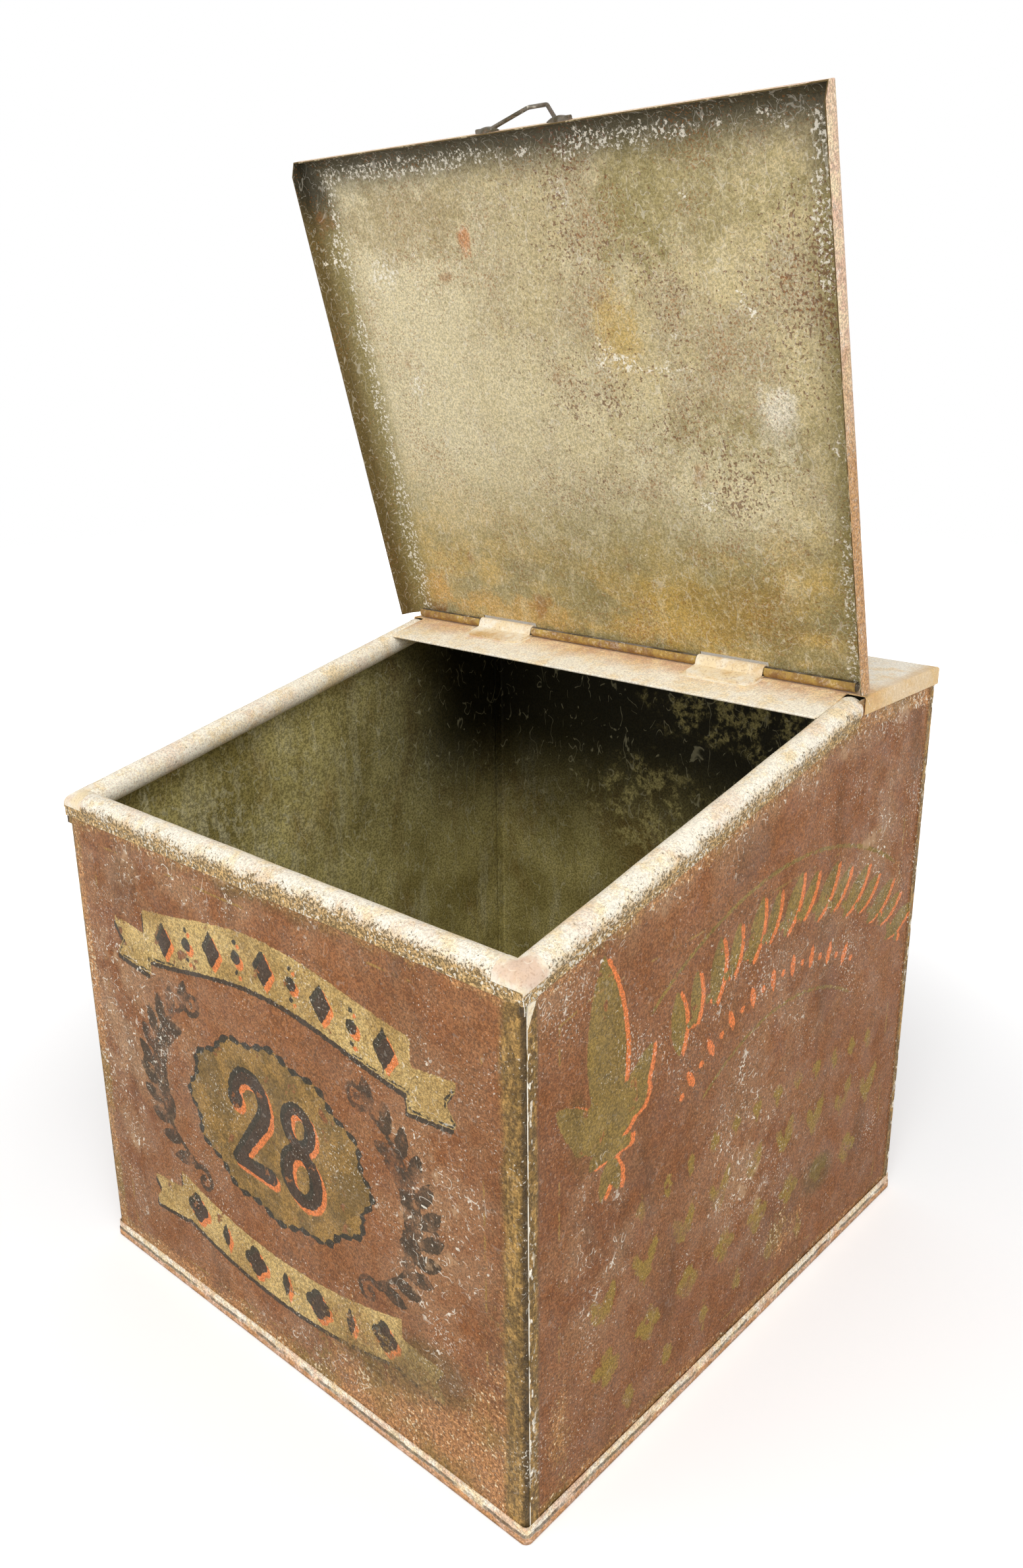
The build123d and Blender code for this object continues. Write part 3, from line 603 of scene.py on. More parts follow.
def side_drawing(y, z):
    """Artwork of a side: a tall plume at the front, an arch of leaves with a row of drops and dots
    inside it, and faded rows of ornaments below. Gold shapes lie on the same shapes moved
    sideways, which show as bright edges."""
    nowhere = np.full(np.shape(y), 1e3)
    reach, angle = np.hypot(y - ARCH_Y, z - ARCH_Z), np.degrees(np.arctan2(y - ARCH_Y, z - ARCH_Z))
    gold = [garland_gap(y, z)]
    for radius, width in ((206, 1.1), (128, 0.9)):
        gold.append(np.maximum(np.abs(reach - radius) - width, np.abs(angle) - 34))
    glow = [garland_gap(y - SIDE_GLOW_SHIFT[0], z - SIDE_GLOW_SHIFT[1])]
    for k in range(19):
        place = -38 + 3.7 * k
        if k % 2:
            glow.append(leaf_gap(y, z, *on_arch(140, place), 90 - place, 14, 4.8))
        else:
            at_y, at_z = on_arch(146, place)
            glow.append(disc_gap(y - at_y, z - at_z, 2.1))
    rows = []
    for kind, up, first, last, count, size in (
        ("diamond", 131, -92, 128, 12, 8), ("pair", 98, -122, 132, 9, 12),
        ("quatrefoil", 62, -118, 112, 8, 11), ("diamond", 30, -100, 60, 6, 9),
    ):
        for at in np.linspace(first, last, count):
            at_z = up + 7 - 14 * (at / 140) ** 2
            if kind == "pair":
                rows.append(leaf_gap(y, z, at, at_z - 11, 68, 27, 9))
                rows.append(leaf_gap(y, z, at + 3, at_z - 11, 118, 23, 8))
            elif kind == "quatrefoil":
                rows.append(quatrefoil_gap(y - at, z - at_z, size * 0.5, size * 0.44))
            else:
                rows.append(diamond_gap(y - at, z - at_z, size * 0.6, size))
    line = np.maximum(box_gap(y, z - 139, 152, 119, 1), z + 22 - rim_line(y))
    return union(*gold), nowhere, nowhere, union(*glow), union(*rows), line


def hills(a, b, *rows):
    """Sum of soft hills, each given by its height, its middle and its two half widths: the height
    times the exponential of minus the squared scaled distance."""
    return sum(
        height * np.exp(-(((a - at_a) / wide) ** 2) - ((b - at_b) / tall) ** 2)
        for height, at_a, at_b, wide, tall in rows
    )


def front_wear(x, z):
    """Wear of the front from 0 to 1: where it is scuffed, where it is worn to its sandy ground, most
    of all at the lower right and along the edges, where gold is tarnished and where grime lies."""
    scuff = 0.14 + hills(
        x, z, (0.5, 112, 150, 36, 80), (0.56, -138, 150, 20, 85), (0.36, -110, 170, 60, 90),
        (0.45, -40, 262, 90, 14), (0.35, 20, 20, 80, 26),
    )
    sand = reduce(np.maximum, (
        0.86 * ease(x, -80, 125) * ease(-z, -125, -10), 0.85 * ease(-z, -27, -8),
        0.95 * ease(-x, 150, 161) + hills(x, z, (0.34, -150, 120, 12, 120)),
        0.52 * ease(x, 122, 152) * ease(-z, -260, -40), 0.62 * ease(z, 261, 272),
    ))
    tarnish = ease(1 - np.hypot(x / 78, (z - MEDALLION_Z) / 56), -0.03, 0.03)
    grime = hills(x, z, (1.1, 108, 62, 26, 20), (0.6, 60, 40, 40, 16), (0.55, 0, 268, 150, 7))
    return scuff, sand, tarnish, grime


def side_wear(y, z):
    """Wear of a side from 0 to 1: scuffs in clusters, sandy wear along the foot and under the rim,
    even tarnish and two grimy places."""
    above = z - np.minimum(rim_line(y), 326)
    scuff = 0.14 + 0.5 * ease(above, -26, -2) + hills(
        y, z, (0.5, -125, 128, 28, 50), (0.5, 0, 110, 40, 50), (0.45, 118, 262, 40, 38),
        (0.3, 60, 200, 60, 40),
    )
    sand = reduce(np.maximum, (
        0.85 * ease(-z, -22, -6), hills(y, z, (0.62, 46, 36, 30, 26)), hills(y, z, (0.5, 150, 240, 10, 60)),
        hills(y, z, (0.5, -150, 40, 12, 60)), 0.68 * ease(above, -14, 0),
    ))
    return scuff, sand, 0.35, hills(y, z, (0.9, 80, 60, 26, 16), (0.5, -140, 200, 12, 60))


def painted(along, z, drawing, wear):
    """The drawing's distances, in metres, and the wear, for points given in metres."""
    along, z = along / MM, z / MM
    gaps = (np.clip(gap, -DRAWN_REACH, DRAWN_REACH) * MM for gap in drawing(along, z))
    return dict(zip((*GAPS, *WEAR), (*gaps, *wear(along, z))))


def surface(*axes):
    """A grid of points from its three coordinates."""
    return np.stack(np.broadcast_arrays(*axes), -1)


def row_count(low, high):
    """How many rows, about one pitch apart, lead from low to high."""
    return round((high - low) / PITCH) + 1


def upright_sheet(piece, plans, low, high, rows, across, face, dent, push):
    """Adds an upright wall: its outer and inner plan lines are carried from the lower to the upper
    heights and pushed in or out by the dents."""
    z = low + np.linspace(0, 1, rows)[:, None] * (high - low)
    outer, inner = (surface(*plan.T, z) for plan in plans)
    along = outer[..., across]
    shift = dent(along, z)[..., None] * push
    piece.add_sheet(outer + shift, inner + shift, PAINT_SLOT, INSIDE_SLOT, EDGE_SLOT, **face(along, z))


def rim_sheet(piece, grids, across, around, face):
    """Adds a wall's rolled top: painted up to the neck, then rim metal outside the roll and dull
    metal in its bore."""
    straight = np.arange(len(around) - 1) < WALL_ROWS + NECK_ROWS - 1
    columns = grids[0].shape[1] - 1
    near, far = (
        np.repeat(np.where(straight, *pair), columns)
        for pair in ((PAINT_SLOT, INSIDE_SLOT), (INSIDE_SLOT, RIM_SLOT))
    )
    fields = face(grids[0][..., across], grids[0][..., 2])
    piece.add_sheet(*grids, near, far, EDGE_SLOT, around=around[:, None], **fields)


def roll_sag(along, paces, around, step):
    """How far a roll sags: the size of two waves multiplied, closed at both ends by one less the
    fourth power of the step from its middle."""
    pace, shift, other_pace = paces
    wave = np.sin(along * pace + shift) * np.cos(along * other_pace) * (1 - step**4)
    return ROLL_SAG * np.abs(wave) * (around > 0)[:, None]


def build_front(sizes, materials):
    """Front wall. Below the corners' top its plan is a channel with rounded corners, above it the
    rim's section is carried along X between both mitres, whose plane holds the roll's axis."""
    mouth, piece = Mouth(sizes), Piece(*GAPS, *WEAR, "band", "around")
    lap = mouth.half_width - sizes.sheet - sizes.seam_gap
    flat = lap - sizes.bend_radius
    flange_end = sizes.front_lap - sizes.lap_end_gap - mouth.half_depth
    columns = int(2 * flat / PITCH) + 1
    top = mouth.z - mouth.corner_drop
    plans = []
    for step in (0, sizes.sheet):
        side, front = lap - step, step - mouth.half_depth
        bend = rounding((side, 0), (side, front), (0, front), sizes.bend_radius - step, 7)[::-1]
        half = np.concatenate((bend, run(bend[-1], (side, flange_end), 4)[1:]))
        middle = run((-flat, front), (flat, front), columns)[1:-1]
        plans.append(np.concatenate((half[::-1] * (-1, 1), middle, half)))

    def dent(x, z):
        return dents(x, z, sizes.dent, flat, BACK_LOW.z, top + 2 * MM)

    def face(x, z):
        band = np.minimum((lap - x) / sizes.front_band, (lap + x) / (0.3 * sizes.front_band))
        return {**painted(x, z, front_drawing, front_wear), "band": band}

    rows = row_count(BACK_LOW.z, top)
    upright_sheet(piece, plans, BACK_LOW.z, np.full(len(plans[0]), top), rows, 0, face, dent, (0, 1, 0))
    *sections, around = rim_section(sizes, mouth, mouth.front_inset, mouth.corner_drop)
    step = np.linspace(-1, 1, columns)
    grids = []
    for section in sections:
        reach = mouth.x - mouth.run * section[:, :1] - mouth.rise * section[:, 1:]
        x = np.minimum(reach, mouth.half_width + mouth.overhang) * step
        z = mouth.z + section[:, 1:] - roll_sag(x, (37, 1, 61), around, step)
        grids.append(surface(x, mouth.y + section[:, :1], z))
    rim_sheet(piece, grids, 0, around, face)
    piece.finish("front_wall", "bin", "bin_paint", "front_panel", materials)


def build_side(sizes, materials, hand):
    """Side wall. Its plan steps out by one sheet over each corner's flange, its top follows the
    mouth's slope, and the rim's section is carried up that slope from the mitre to a closed
    half-ball end. The left wall is the right one mirrored."""
    mouth, piece = Mouth(sizes), Piece(*GAPS, *WEAR, "band", "around")
    lap, wall = mouth.half_width, mouth.half_width - sizes.sheet
    front, back = sizes.front_setback - mouth.half_depth, mouth.half_depth - sizes.rear_setback
    lap_front, lap_rear = sizes.front_lap - mouth.half_depth, mouth.half_depth - sizes.rear_lap
    middle_end = mouth.end[1]
    stops = (
        (lap, front), (lap, lap_front), (wall, lap_front + sizes.joggle), (wall, middle_end),
        (wall, lap_rear - sizes.joggle), (lap, lap_rear), (lap, back),
    )
    fore, aft = int((middle_end - lap_front) / PITCH), int((lap_rear - middle_end) / PITCH)
    plan = runs(stops, (5, 3, fore, aft, 3, 4))

    def dent(y, z):
        return dents(y, z, sizes.dent, lap_rear - 2 * MM, BACK_LOW.z, mouth.wall_line(y) - 4 * MM)

    def face(y, z):
        band = np.minimum((y - front) / (lap_front - front), (back - y) / (back - lap_rear))
        return {**painted(y, z, side_drawing, side_wear), "band": band}

    tops = mouth.wall_line(plan[:, 1])
    behind = plan[plan[:, 1] >= middle_end - 1e-9]
    above = np.full(len(behind), BACK_HIGH.z)
    for line, low, high, rows, push in (
        (plan, BACK_LOW.z, tops, row_count(BACK_LOW.z, tops.max()), (-1, 0, 0)),
        (behind, tops.max(), above, 9, (0, 0, 0)),
    ):
        upright_sheet(piece, (line, line - (sizes.sheet, 0)), low, high, rows, 1, face, dent, push)

    *sections, around = rim_section(sizes, mouth, mouth.side_inset, mouth.wall_drop)
    step = np.linspace(0, 1, int(mouth.roll_length / PITCH) + 1)
    grids = []
    for section in sections:
        off, up = section[:, :1], section[:, 1:]
        along = off + step * (mouth.roll_length - off)
        z = mouth.z + along * mouth.rise + up * mouth.run - roll_sag(along, (41, 2, 57), around, 2 * step - 1)
        grids.append(surface(mouth.x - off, mouth.y + along * mouth.run - up * mouth.rise, z))
    rim_sheet(piece, grids, 1, around, face)
    half_ball = np.concatenate((arc(mouth.radius, 90, 0, 12), arc(mouth.bore, 0, 90, 12)))
    piece.add_turned(half_ball, mouth.end, (0, mouth.run, mouth.rise), (1, 0, 0), RIM_SLOT, around=0.5)
    name, replaced = "right_side_wall", "right_side_panel"
    if hand < 0:
        name, replaced = "left_side_wall", "left_side_panel"
        piece.points = [points * (-1, 1, 1) for points in piece.points]
        piece.faces = [faces[:, ::-1] for faces in piece.faces]
    piece.finish(name, "bin", "bin_paint", replaced, materials)


LID_OUTSIDE, LID_UNDER, LID_EDGE = range(3)
FLANGE_ROWS, FOLD_ROWS, CURL_ROWS, CURL_COLUMNS = 5, 9, 26, 12


def fold_shape(e, radius, straight):
    """A soft fold: for e from 0 to 1 a quarter circle, past 1 a straight flange. Gives how far it
    reaches sideways and how far it drops."""
    bend = np.clip(e, 0, 1) * np.pi / 2
    return radius * np.sin(bend), radius * (1 - np.cos(bend)) + np.maximum(e - 1, 0) * straight


def lid_reach(sizes, top):
    """Length of the lid from the hinge wire's axis, from the height of its highest point: there the
    front fold's outer arc is level, so the height is that of the arc's centre plus its radius."""
    centre_under = sizes.lid_fold - sizes.knuckle_radius
    centre = (top - sizes.lid_fold - centre_under * cos(sizes.open_angle)) / sin(sizes.open_angle)
    return centre + sizes.lid_fold


def clip_rise(sizes, half, front, x, along, deepest):
    """How much shorter the flange is near the clipped front corners."""
    side = np.clip((along - front + sizes.corner_clip) / (sizes.corner_clip + sizes.sheet), 0, 1)
    near = np.clip((np.abs(x) - half) / MM, 0, 1)
    return sizes.corner_clip * sizes.clip_share * side * near * np.clip(deepest - 1, 0, 1)


def lid_wave(x, along, half, flat_end):
    """Gentle unevenness of the lid: two slow waves times a window that closes at the folds."""
    sides = np.clip((half - np.abs(x)) / FADE_IN, 0, 1)
    ends = np.clip(along / FADE_IN, 0, 1) * np.clip((flat_end - along) / FADE_IN, 0, 1)
    wave = 0.6 * np.sin(x * 17 + 1.2) * np.sin(along * 15 + 0.4) + 0.4 * np.sin(x * 31 - along * 24)
    return LID_BULGE * wave * ease(sides * ends)


def build_lid(sizes, materials):
    """Lid sheet. A developed grid is laid flat, then folded: the fold's depth at a point depends on
    the larger of its distances into the side fold and the front fold, so both meet in a mitre. The
    rear edge curls round the hinge wire between the notches for the straps."""
    piece = Piece("inward", "around")
    lean, rise = cos(sizes.open_angle), sin(sizes.open_angle)
    straight = sizes.lid_flange - sizes.lid_fold
    half = LID_HIGH.x - sizes.lid_fold
    front = lid_reach(sizes, LID_HIGH.z - HINGE.z)
    flat_end = front - sizes.lid_fold

    def placed(across, along, under):
        """Points given across the lid, along it from the hinge wire, and out of its underside."""
        back, up = along * lean - under * rise, along * rise + under * lean
        return surface(HINGE.x + across, HINGE.y + back, HINGE.z + up)

    slit = 0.02 * MM
    sides = [edge + side for edge in (-sizes.notch_half, sizes.notch_half) for side in (-slit, slit)]
    notches = [middle + side for middle in (-sizes.strap_spread, sizes.strap_spread) for side in sides]
    even = np.linspace(-half, half, int(2 * half / LID_PITCH))
    flat = np.unique(np.round(np.concatenate((even, notches)), 7))
    fold = np.concatenate((np.linspace(2, 1, FLANGE_ROWS)[:-1], np.linspace(1, 0, FOLD_ROWS)[:-1]))
    turned = np.ones(len(fold))
    e_across = np.concatenate((fold, np.zeros(len(flat)), fold[::-1]))
    sign = np.concatenate((-turned, np.zeros(len(flat)), turned))
    x_flat = np.concatenate((turned * -half, flat, turned * half))
    in_notch = (np.abs(np.abs(x_flat) - sizes.strap_spread) < sizes.notch_half) & (e_across == 0)
    level = np.linspace(0, 1, int(flat_end / LID_PITCH))
    e_along = np.concatenate((np.zeros(len(level)), fold[::-1]))[:, None]
    level = np.concatenate((level, turned))[:, None]
    deepest = np.maximum(e_across, e_along)
    part = np.where(deepest > 0, 1 / np.maximum(deepest, 1e-9), 0)

    grids = []
    for sheet in (0, sizes.sheet):
        radius, base = sizes.lid_fold - sheet, sheet - sizes.knuckle_radius
        sideways, drop = fold_shape(deepest, radius, straight)
        over = sideways * e_along * part
        x = x_flat + sign * sideways * e_across * part
        clip = clip_rise(sizes, half, front, x, level * flat_end + over, deepest)
        rear_drop = base + fold_shape(e_across, radius, straight)[1]
        slant = sizes.rear_slant * np.maximum(rear_drop, 0) / sizes.lid_flange - sizes.rear_reach
        start = np.where(e_across > 0, slant, np.where(in_notch, sizes.notch_reach, 0))
        along = start + level * (flat_end - start) + over
        grids.append(placed(x, along, base + drop - clip + lid_wave(x, along, half, flat_end)))
    gap = np.minimum(half - np.abs(x_flat), flat_end * (1 - level))
    inward = np.where(deepest > 0, -10 * MM * deepest, gap)
    piece.add_sheet(*grids, LID_OUTSIDE, LID_UNDER, LID_EDGE, inward=inward)

    near, far = sizes.strap_spread - sizes.notch_half, sizes.strap_spread + sizes.notch_half
    for low, high in ((-half, -far), (-near, near), (far, half)):
        curls = []
        for radius in (sizes.knuckle_radius, sizes.knuckle_radius - sizes.sheet):
            bend = arc(radius, -90, -90 - degrees(sizes.curl_angle), CURL_ROWS)
            curls.append(placed(np.linspace(low, high, CURL_COLUMNS), bend[:, :1], bend[:, 1:]))
        piece.add_sheet(*curls, LID_UNDER, LID_UNDER, LID_EDGE, around=1.0)
    piece.finish("lid_sheet", "lid", "lid_varnish", "lid_panel", materials)


class Value:
    """A number or colour worked out in a node tree, so that sums of them can be written as such."""

    def __init__(self, bench, socket):
        self.bench, self.socket = bench, socket

    def __add__(self, other):
        return self.bench.maths("ADD", self, other)

    def __sub__(self, other):
        return self.bench.maths("SUBTRACT", self, other)

    def __rsub__(self, other):
        return self.bench.maths("SUBTRACT", other, self)

    def __mul__(self, other):
        return self.bench.maths("MULTIPLY", self, other)

    def __abs__(self):
        return self.bench.maths("ABSOLUTE", self)


class Bench:
    """A node tree being laid out: each call adds a node and gives back its result. Its place is
    where the textures are looked up."""

    def __init__(self, tree):
        self.tree, self.place = tree, None

    def node(self, kind, inputs=None, output=0, **settings):
        """Adds a node, sets its properties, and sets or links its inputs. A colour of three values
        gets a fourth here."""
        made = self.tree.nodes.new(kind)
        for name, value in settings.items():
            setattr(made, name, value)
        for name, value in (inputs or {}).items():
            socket = made.inputs[name]
            if isinstance(value, Value):
                self.tree.links.new(value.socket, socket)
            else:
                socket.default_value = (*value, 1) if socket.type == "RGBA" else value
        return Value(self, made.outputs[output]) if made.outputs else None

    def maths(self, operation, *values):
        """One arithmetic step."""
        return self.node("ShaderNodeMath", dict(enumerate(values)), operation=operation)

    def most(self, *values):
        """The largest of some values."""
        return reduce(lambda first, second: self.maths("MAXIMUM", first, second), values)

    def mix(self, factor, first, second, kind="MIX"):
        """Mixes two colours."""
        given = {0: factor, 6: first, 7: second}
        return self.node("ShaderNodeMix", given, 2, data_type="RGBA", blend_type=kind)

    def layers(self, base, *coats):
        """A base colour under coats, each a colour and the mask that says where it lies."""
        return reduce(lambda under, coat: self.mix(coat[1], under, coat[0]), coats, base)

    def ramp(self, value, low, high, start=0.0, end=1.0):
        """Smooth step: start below low, end above high."""
        given = {"Value": value, "From Min": low, "From Max": high, "To Min": start, "To Max": end}
        return self.node("ShaderNodeMapRange", given, interpolation_type="SMOOTHSTEP")

    def field(self, name):
        """A value stored in the mesh."""
        return self.node("ShaderNodeAttribute", output="Fac", attribute_name=name)

    def axis(self, name):
        """The place along one axis."""
        return self.node("ShaderNodeSeparateXYZ", {0: self.place}, name)

    def stretched(self, rise):
        """The place with its height scaled, so that marks are drawn out upright or sideways."""
        if rise == 1:
            return self.place
        return self.node("ShaderNodeMapping", {"Vector": self.place, "Scale": (1, 1, rise)})

    def noise(self, scale, detail, roughness, rise=1, distortion=0.0):
        """Cloudy noise about one half."""
        given = {"Scale": scale, "Detail": detail, "Roughness": roughness, "Distortion": distortion}
        return self.node("ShaderNodeTexNoise", {"Vector": self.stretched(rise), **given})

    def drift(self, scale, detail, roughness, reach):
        """Noise about nothing, in all as wide as the reach."""
        return (self.noise(scale, detail, roughness) - 0.5) * reach

    def cloud(self, scale, detail, roughness, low, high, start=0.0, end=1.0, rise=1):
        """Soft clouds: a smooth step of noise."""
        return self.ramp(self.noise(scale, detail, roughness, rise), low, high, start, end)

    def shared(self, name, rise, **numbers):
        """Places a shared effect with its own values."""
        given = {"Vector": self.stretched(rise), **numbers}
        return self.node("ShaderNodeGroup", given, node_tree=bpy.data.node_groups[name])

    def patches(self, scale, level, softness, rise=1):
        """Ragged patches."""
        return self.shared("Patches", rise, Scale=scale, Level=level, Softness=softness)

    def specks(self, scale, level, clump, rise=1):
        """Fine specks in clumps."""
        return self.shared("Specks", rise, Scale=scale, Level=level, Clump=clump)

    def lint(self, scale, width, level, rise=1):
        """Thin curly threads."""
        return self.shared("Lint", rise, Scale=scale, Width=width, Level=level)

    def gritty(self, base, strength, scale=850):
        """A colour made lighter and darker by fine grain."""
        grain = self.cloud(scale, 2, 0.85, 0.42, 0.58, 1 - strength, 1 + strength)
        return self.mix(1.0, base, grain, "MULTIPLY")

    def spot(self, at_x, at_z, wide, high, drift):
        """A soft-edged oval stain, its outline torn by the drift: a smooth step of the distance from
        its middle, in half widths."""
        across, up = (self.axis("X") - at_x) * (1 / wide), (self.axis("Z") - at_z) * (1 / high)
        return self.ramp(self.maths("SQRT", across * across + up * up) + drift, 0.55, 1.15, 1, 0)

    def finish(self, base, rough, relief, depth):
        """Joins colour, roughness and relief, whose depth is in millimetres, to the shader."""
        normal = self.node("ShaderNodeBump", {"Height": relief, "Strength": 1.0, "Distance": depth * MM})
        given = {"Base Color": base, "Roughness": rough, "Normal": normal, "Specular IOR Level": SPECULAR}
        shader = self.node("ShaderNodeBsdfPrincipled", given)
        self.node("ShaderNodeOutputMaterial", {"Surface": shader})


def effect(name, **numbers):
    """Starts a shared effect: a node group with a Vector and named numbers in, and a Mask out."""
    tree = bpy.data.node_groups.new(name, "ShaderNodeTree")
    tree.interface.new_socket("Vector", in_out="INPUT", socket_type="NodeSocketVector")
    for label, value in numbers.items():
        tree.interface.new_socket(label, in_out="INPUT", socket_type="NodeSocketFloat").default_value = value
    tree.interface.new_socket("Mask", in_out="OUTPUT", socket_type="NodeSocketFloat")
    bench, given = Bench(tree), tree.nodes.new("NodeGroupInput").outputs
    bench.place, *values = (Value(bench, given[label]) for label in ("Vector", *numbers))
    return bench, *values


def end_effect(bench, mask):
    """Joins the mask to the group's output."""
    bench.node("NodeGroupOutput", {0: mask})


def make_effects():
    """Patches, specks, lint and crackle, each used by several finishes."""
    bench, scale, level, softness = effect("Patches", Scale=20.0, Level=0.55, Softness=0.05)
    end_effect(bench, bench.cloud(scale, 7, 0.62, level - softness, level + softness))

    bench, scale, level, clump = effect("Specks", Scale=900.0, Level=0.66, Clump=30.0)
    fine = bench.noise(scale, 1, 0.5) + bench.noise(clump, 3, 0.6) * 0.6 - 0.3
    end_effect(bench, bench.ramp(fine, level, level + 0.04))

    bench, scale, width, level = effect("Lint", Scale=60.0, Width=0.004, Level=0.6)
    thread = bench.ramp(abs(bench.noise(scale, 1, 0.4, distortion=0.6) - 0.5), 0, width, 1, 0)
    end_effect(bench, thread * bench.cloud(scale * 1.7, 2, 0.5, level, level + 0.03))

    bench, scale, width = effect("Crackle", Scale=220.0, Width=0.04)
    given = {"Vector": bench.place, "Scale": scale}
    cell = bench.node("ShaderNodeTexVoronoi", given, "Distance", feature="DISTANCE_TO_EDGE")
    end_effect(bench, bench.ramp(cell, 0, width, 1, 0))


def new_finish(name):
    """A bench for a new material, whose place is the place on the object."""
    material = bpy.data.materials.new(name)
    material.use_nodes = True
    material.node_tree.nodes.clear()
    bench = Bench(material.node_tree)
    bench.place = bench.node("ShaderNodeTexCoord", output="Object")
    return bench


def plain_paint(bench, c, scuff):
    """Old brown paint: faint clouds of two browns, fine mottling, grains, and a pale bloom where it
    is scuffed."""
    return bench.layers(
        c.paint,
        (c.paint_dark, bench.patches(11, 0.5, 0.2) * 0.5),
        (c.paint_dark, bench.cloud(250, 8, 0.82, 0.42, 0.64, end=0.72)),
        (c.rust_tan, bench.cloud(560, 3, 0.75, 0.54, 0.7, end=0.34)),
        (c.rust_dark, bench.specks(700, 0.66, 34) * 0.5),
        (c.haze, bench.patches(34, 0.48, 0.12) * scuff * 0.62),
        (c.rust_dark, bench.patches(36, 0.6, 0.08, rise=1 / 3) * 0.3),
    )


def scuffed(bench, c, base, scuff):
    """Fine grit, and pale curly scratches, flakes and grains, thick where the scuff value is high."""
    amount = bench.ramp(scuff + bench.drift(34, 7, 0.75, 2), 0.3, 0.68)
    threads = bench.most(bench.lint(85, 0.013, 0.55), bench.lint(170, 0.022, 0.54))
    marks = bench.most(threads, bench.specks(380, 0.735, 70)) * (amount * 0.88 + 0.12)
    marks = bench.most(marks, bench.specks(760, 0.71, 26) * 0.6)
    scrape = bench.patches(58, 0.62, 0.03) * amount * 0.6
    return bench.layers(bench.gritty(base, 0.3), (c.haze, scrape), (c.white, marks * 0.78))


def gold_tone(bench, c, gilt, worn_gilt):
    """Gold leaf that has darkened in patches and crackled, most where it is tarnished."""
    tarnish = bench.field("tarnish")
    crackle = bench.shared("Crackle", 1, Scale=230, Width=0.06)
    return bench.layers(
        gilt,
        (worn_gilt, bench.most(bench.patches(30, 0.5, 0.1) * 0.65, tarnish)),
        (worn_gilt, bench.cloud(480, 4, 0.7, 0.45, 0.7, end=0.6)),
        (c.varnish_dark, bench.cloud(300, 6, 0.8, 0.52, 0.66, end=0.4)),
        (c.ink, crackle * 0.35),
        (c.varnish_dark, bench.patches(46, 0.5, 0.05) * tarnish * 0.62),
    )


def artwork(bench, c, base, gilt, worn_gilt, sprig, front):
    """The drawn shapes over the paint. On the front the bright and dark edges lie on the gold, on
    the sides they lie under it and the faded shapes are more broken."""
    ragged = bench.drift(330, 5, 0.7, 3 * MM)
    torn = ragged if front else bench.drift(150, 6, 0.75, 13 * MM) + 0.5 * MM
    kept = 1 - bench.patches(85, 0.64, 0.025)
    soft, line_half, line_soft = 0.22 * MM, 0.55 * MM, 0.15 * MM

    def drawn(field, strength=1.0, edge=ragged):
        """Where a shape lies: its stored distance, made ragged, is less than nothing."""
        return bench.ramp(bench.field(field) + edge, -soft, soft, 1, 0) * kept * strength

    thin = bench.cloud(60, 7, 0.75, 0.36, 0.54, 0.2)
    coats = [(sprig, drawn("leaf", 0.86, torn) * thin), (c.ink, drawn("cast", 0.9))]
    gold = (gold_tone(bench, c, gilt, worn_gilt), drawn("gold"))
    if front:
        coats += [gold, (c.orange, drawn("glow", 0.92)), (c.ink, drawn("ink", 0.96))]
    else:
        coats += [(c.orange, drawn("glow")), gold]
    line = bench.ramp(abs(bench.field("line")) - line_half + ragged * 0.4, -line_soft, line_soft, 1, 0)
    return bench.layers(base, *coats, (c.old_gold, line * bench.patches(48, 0.56, 0.03)))


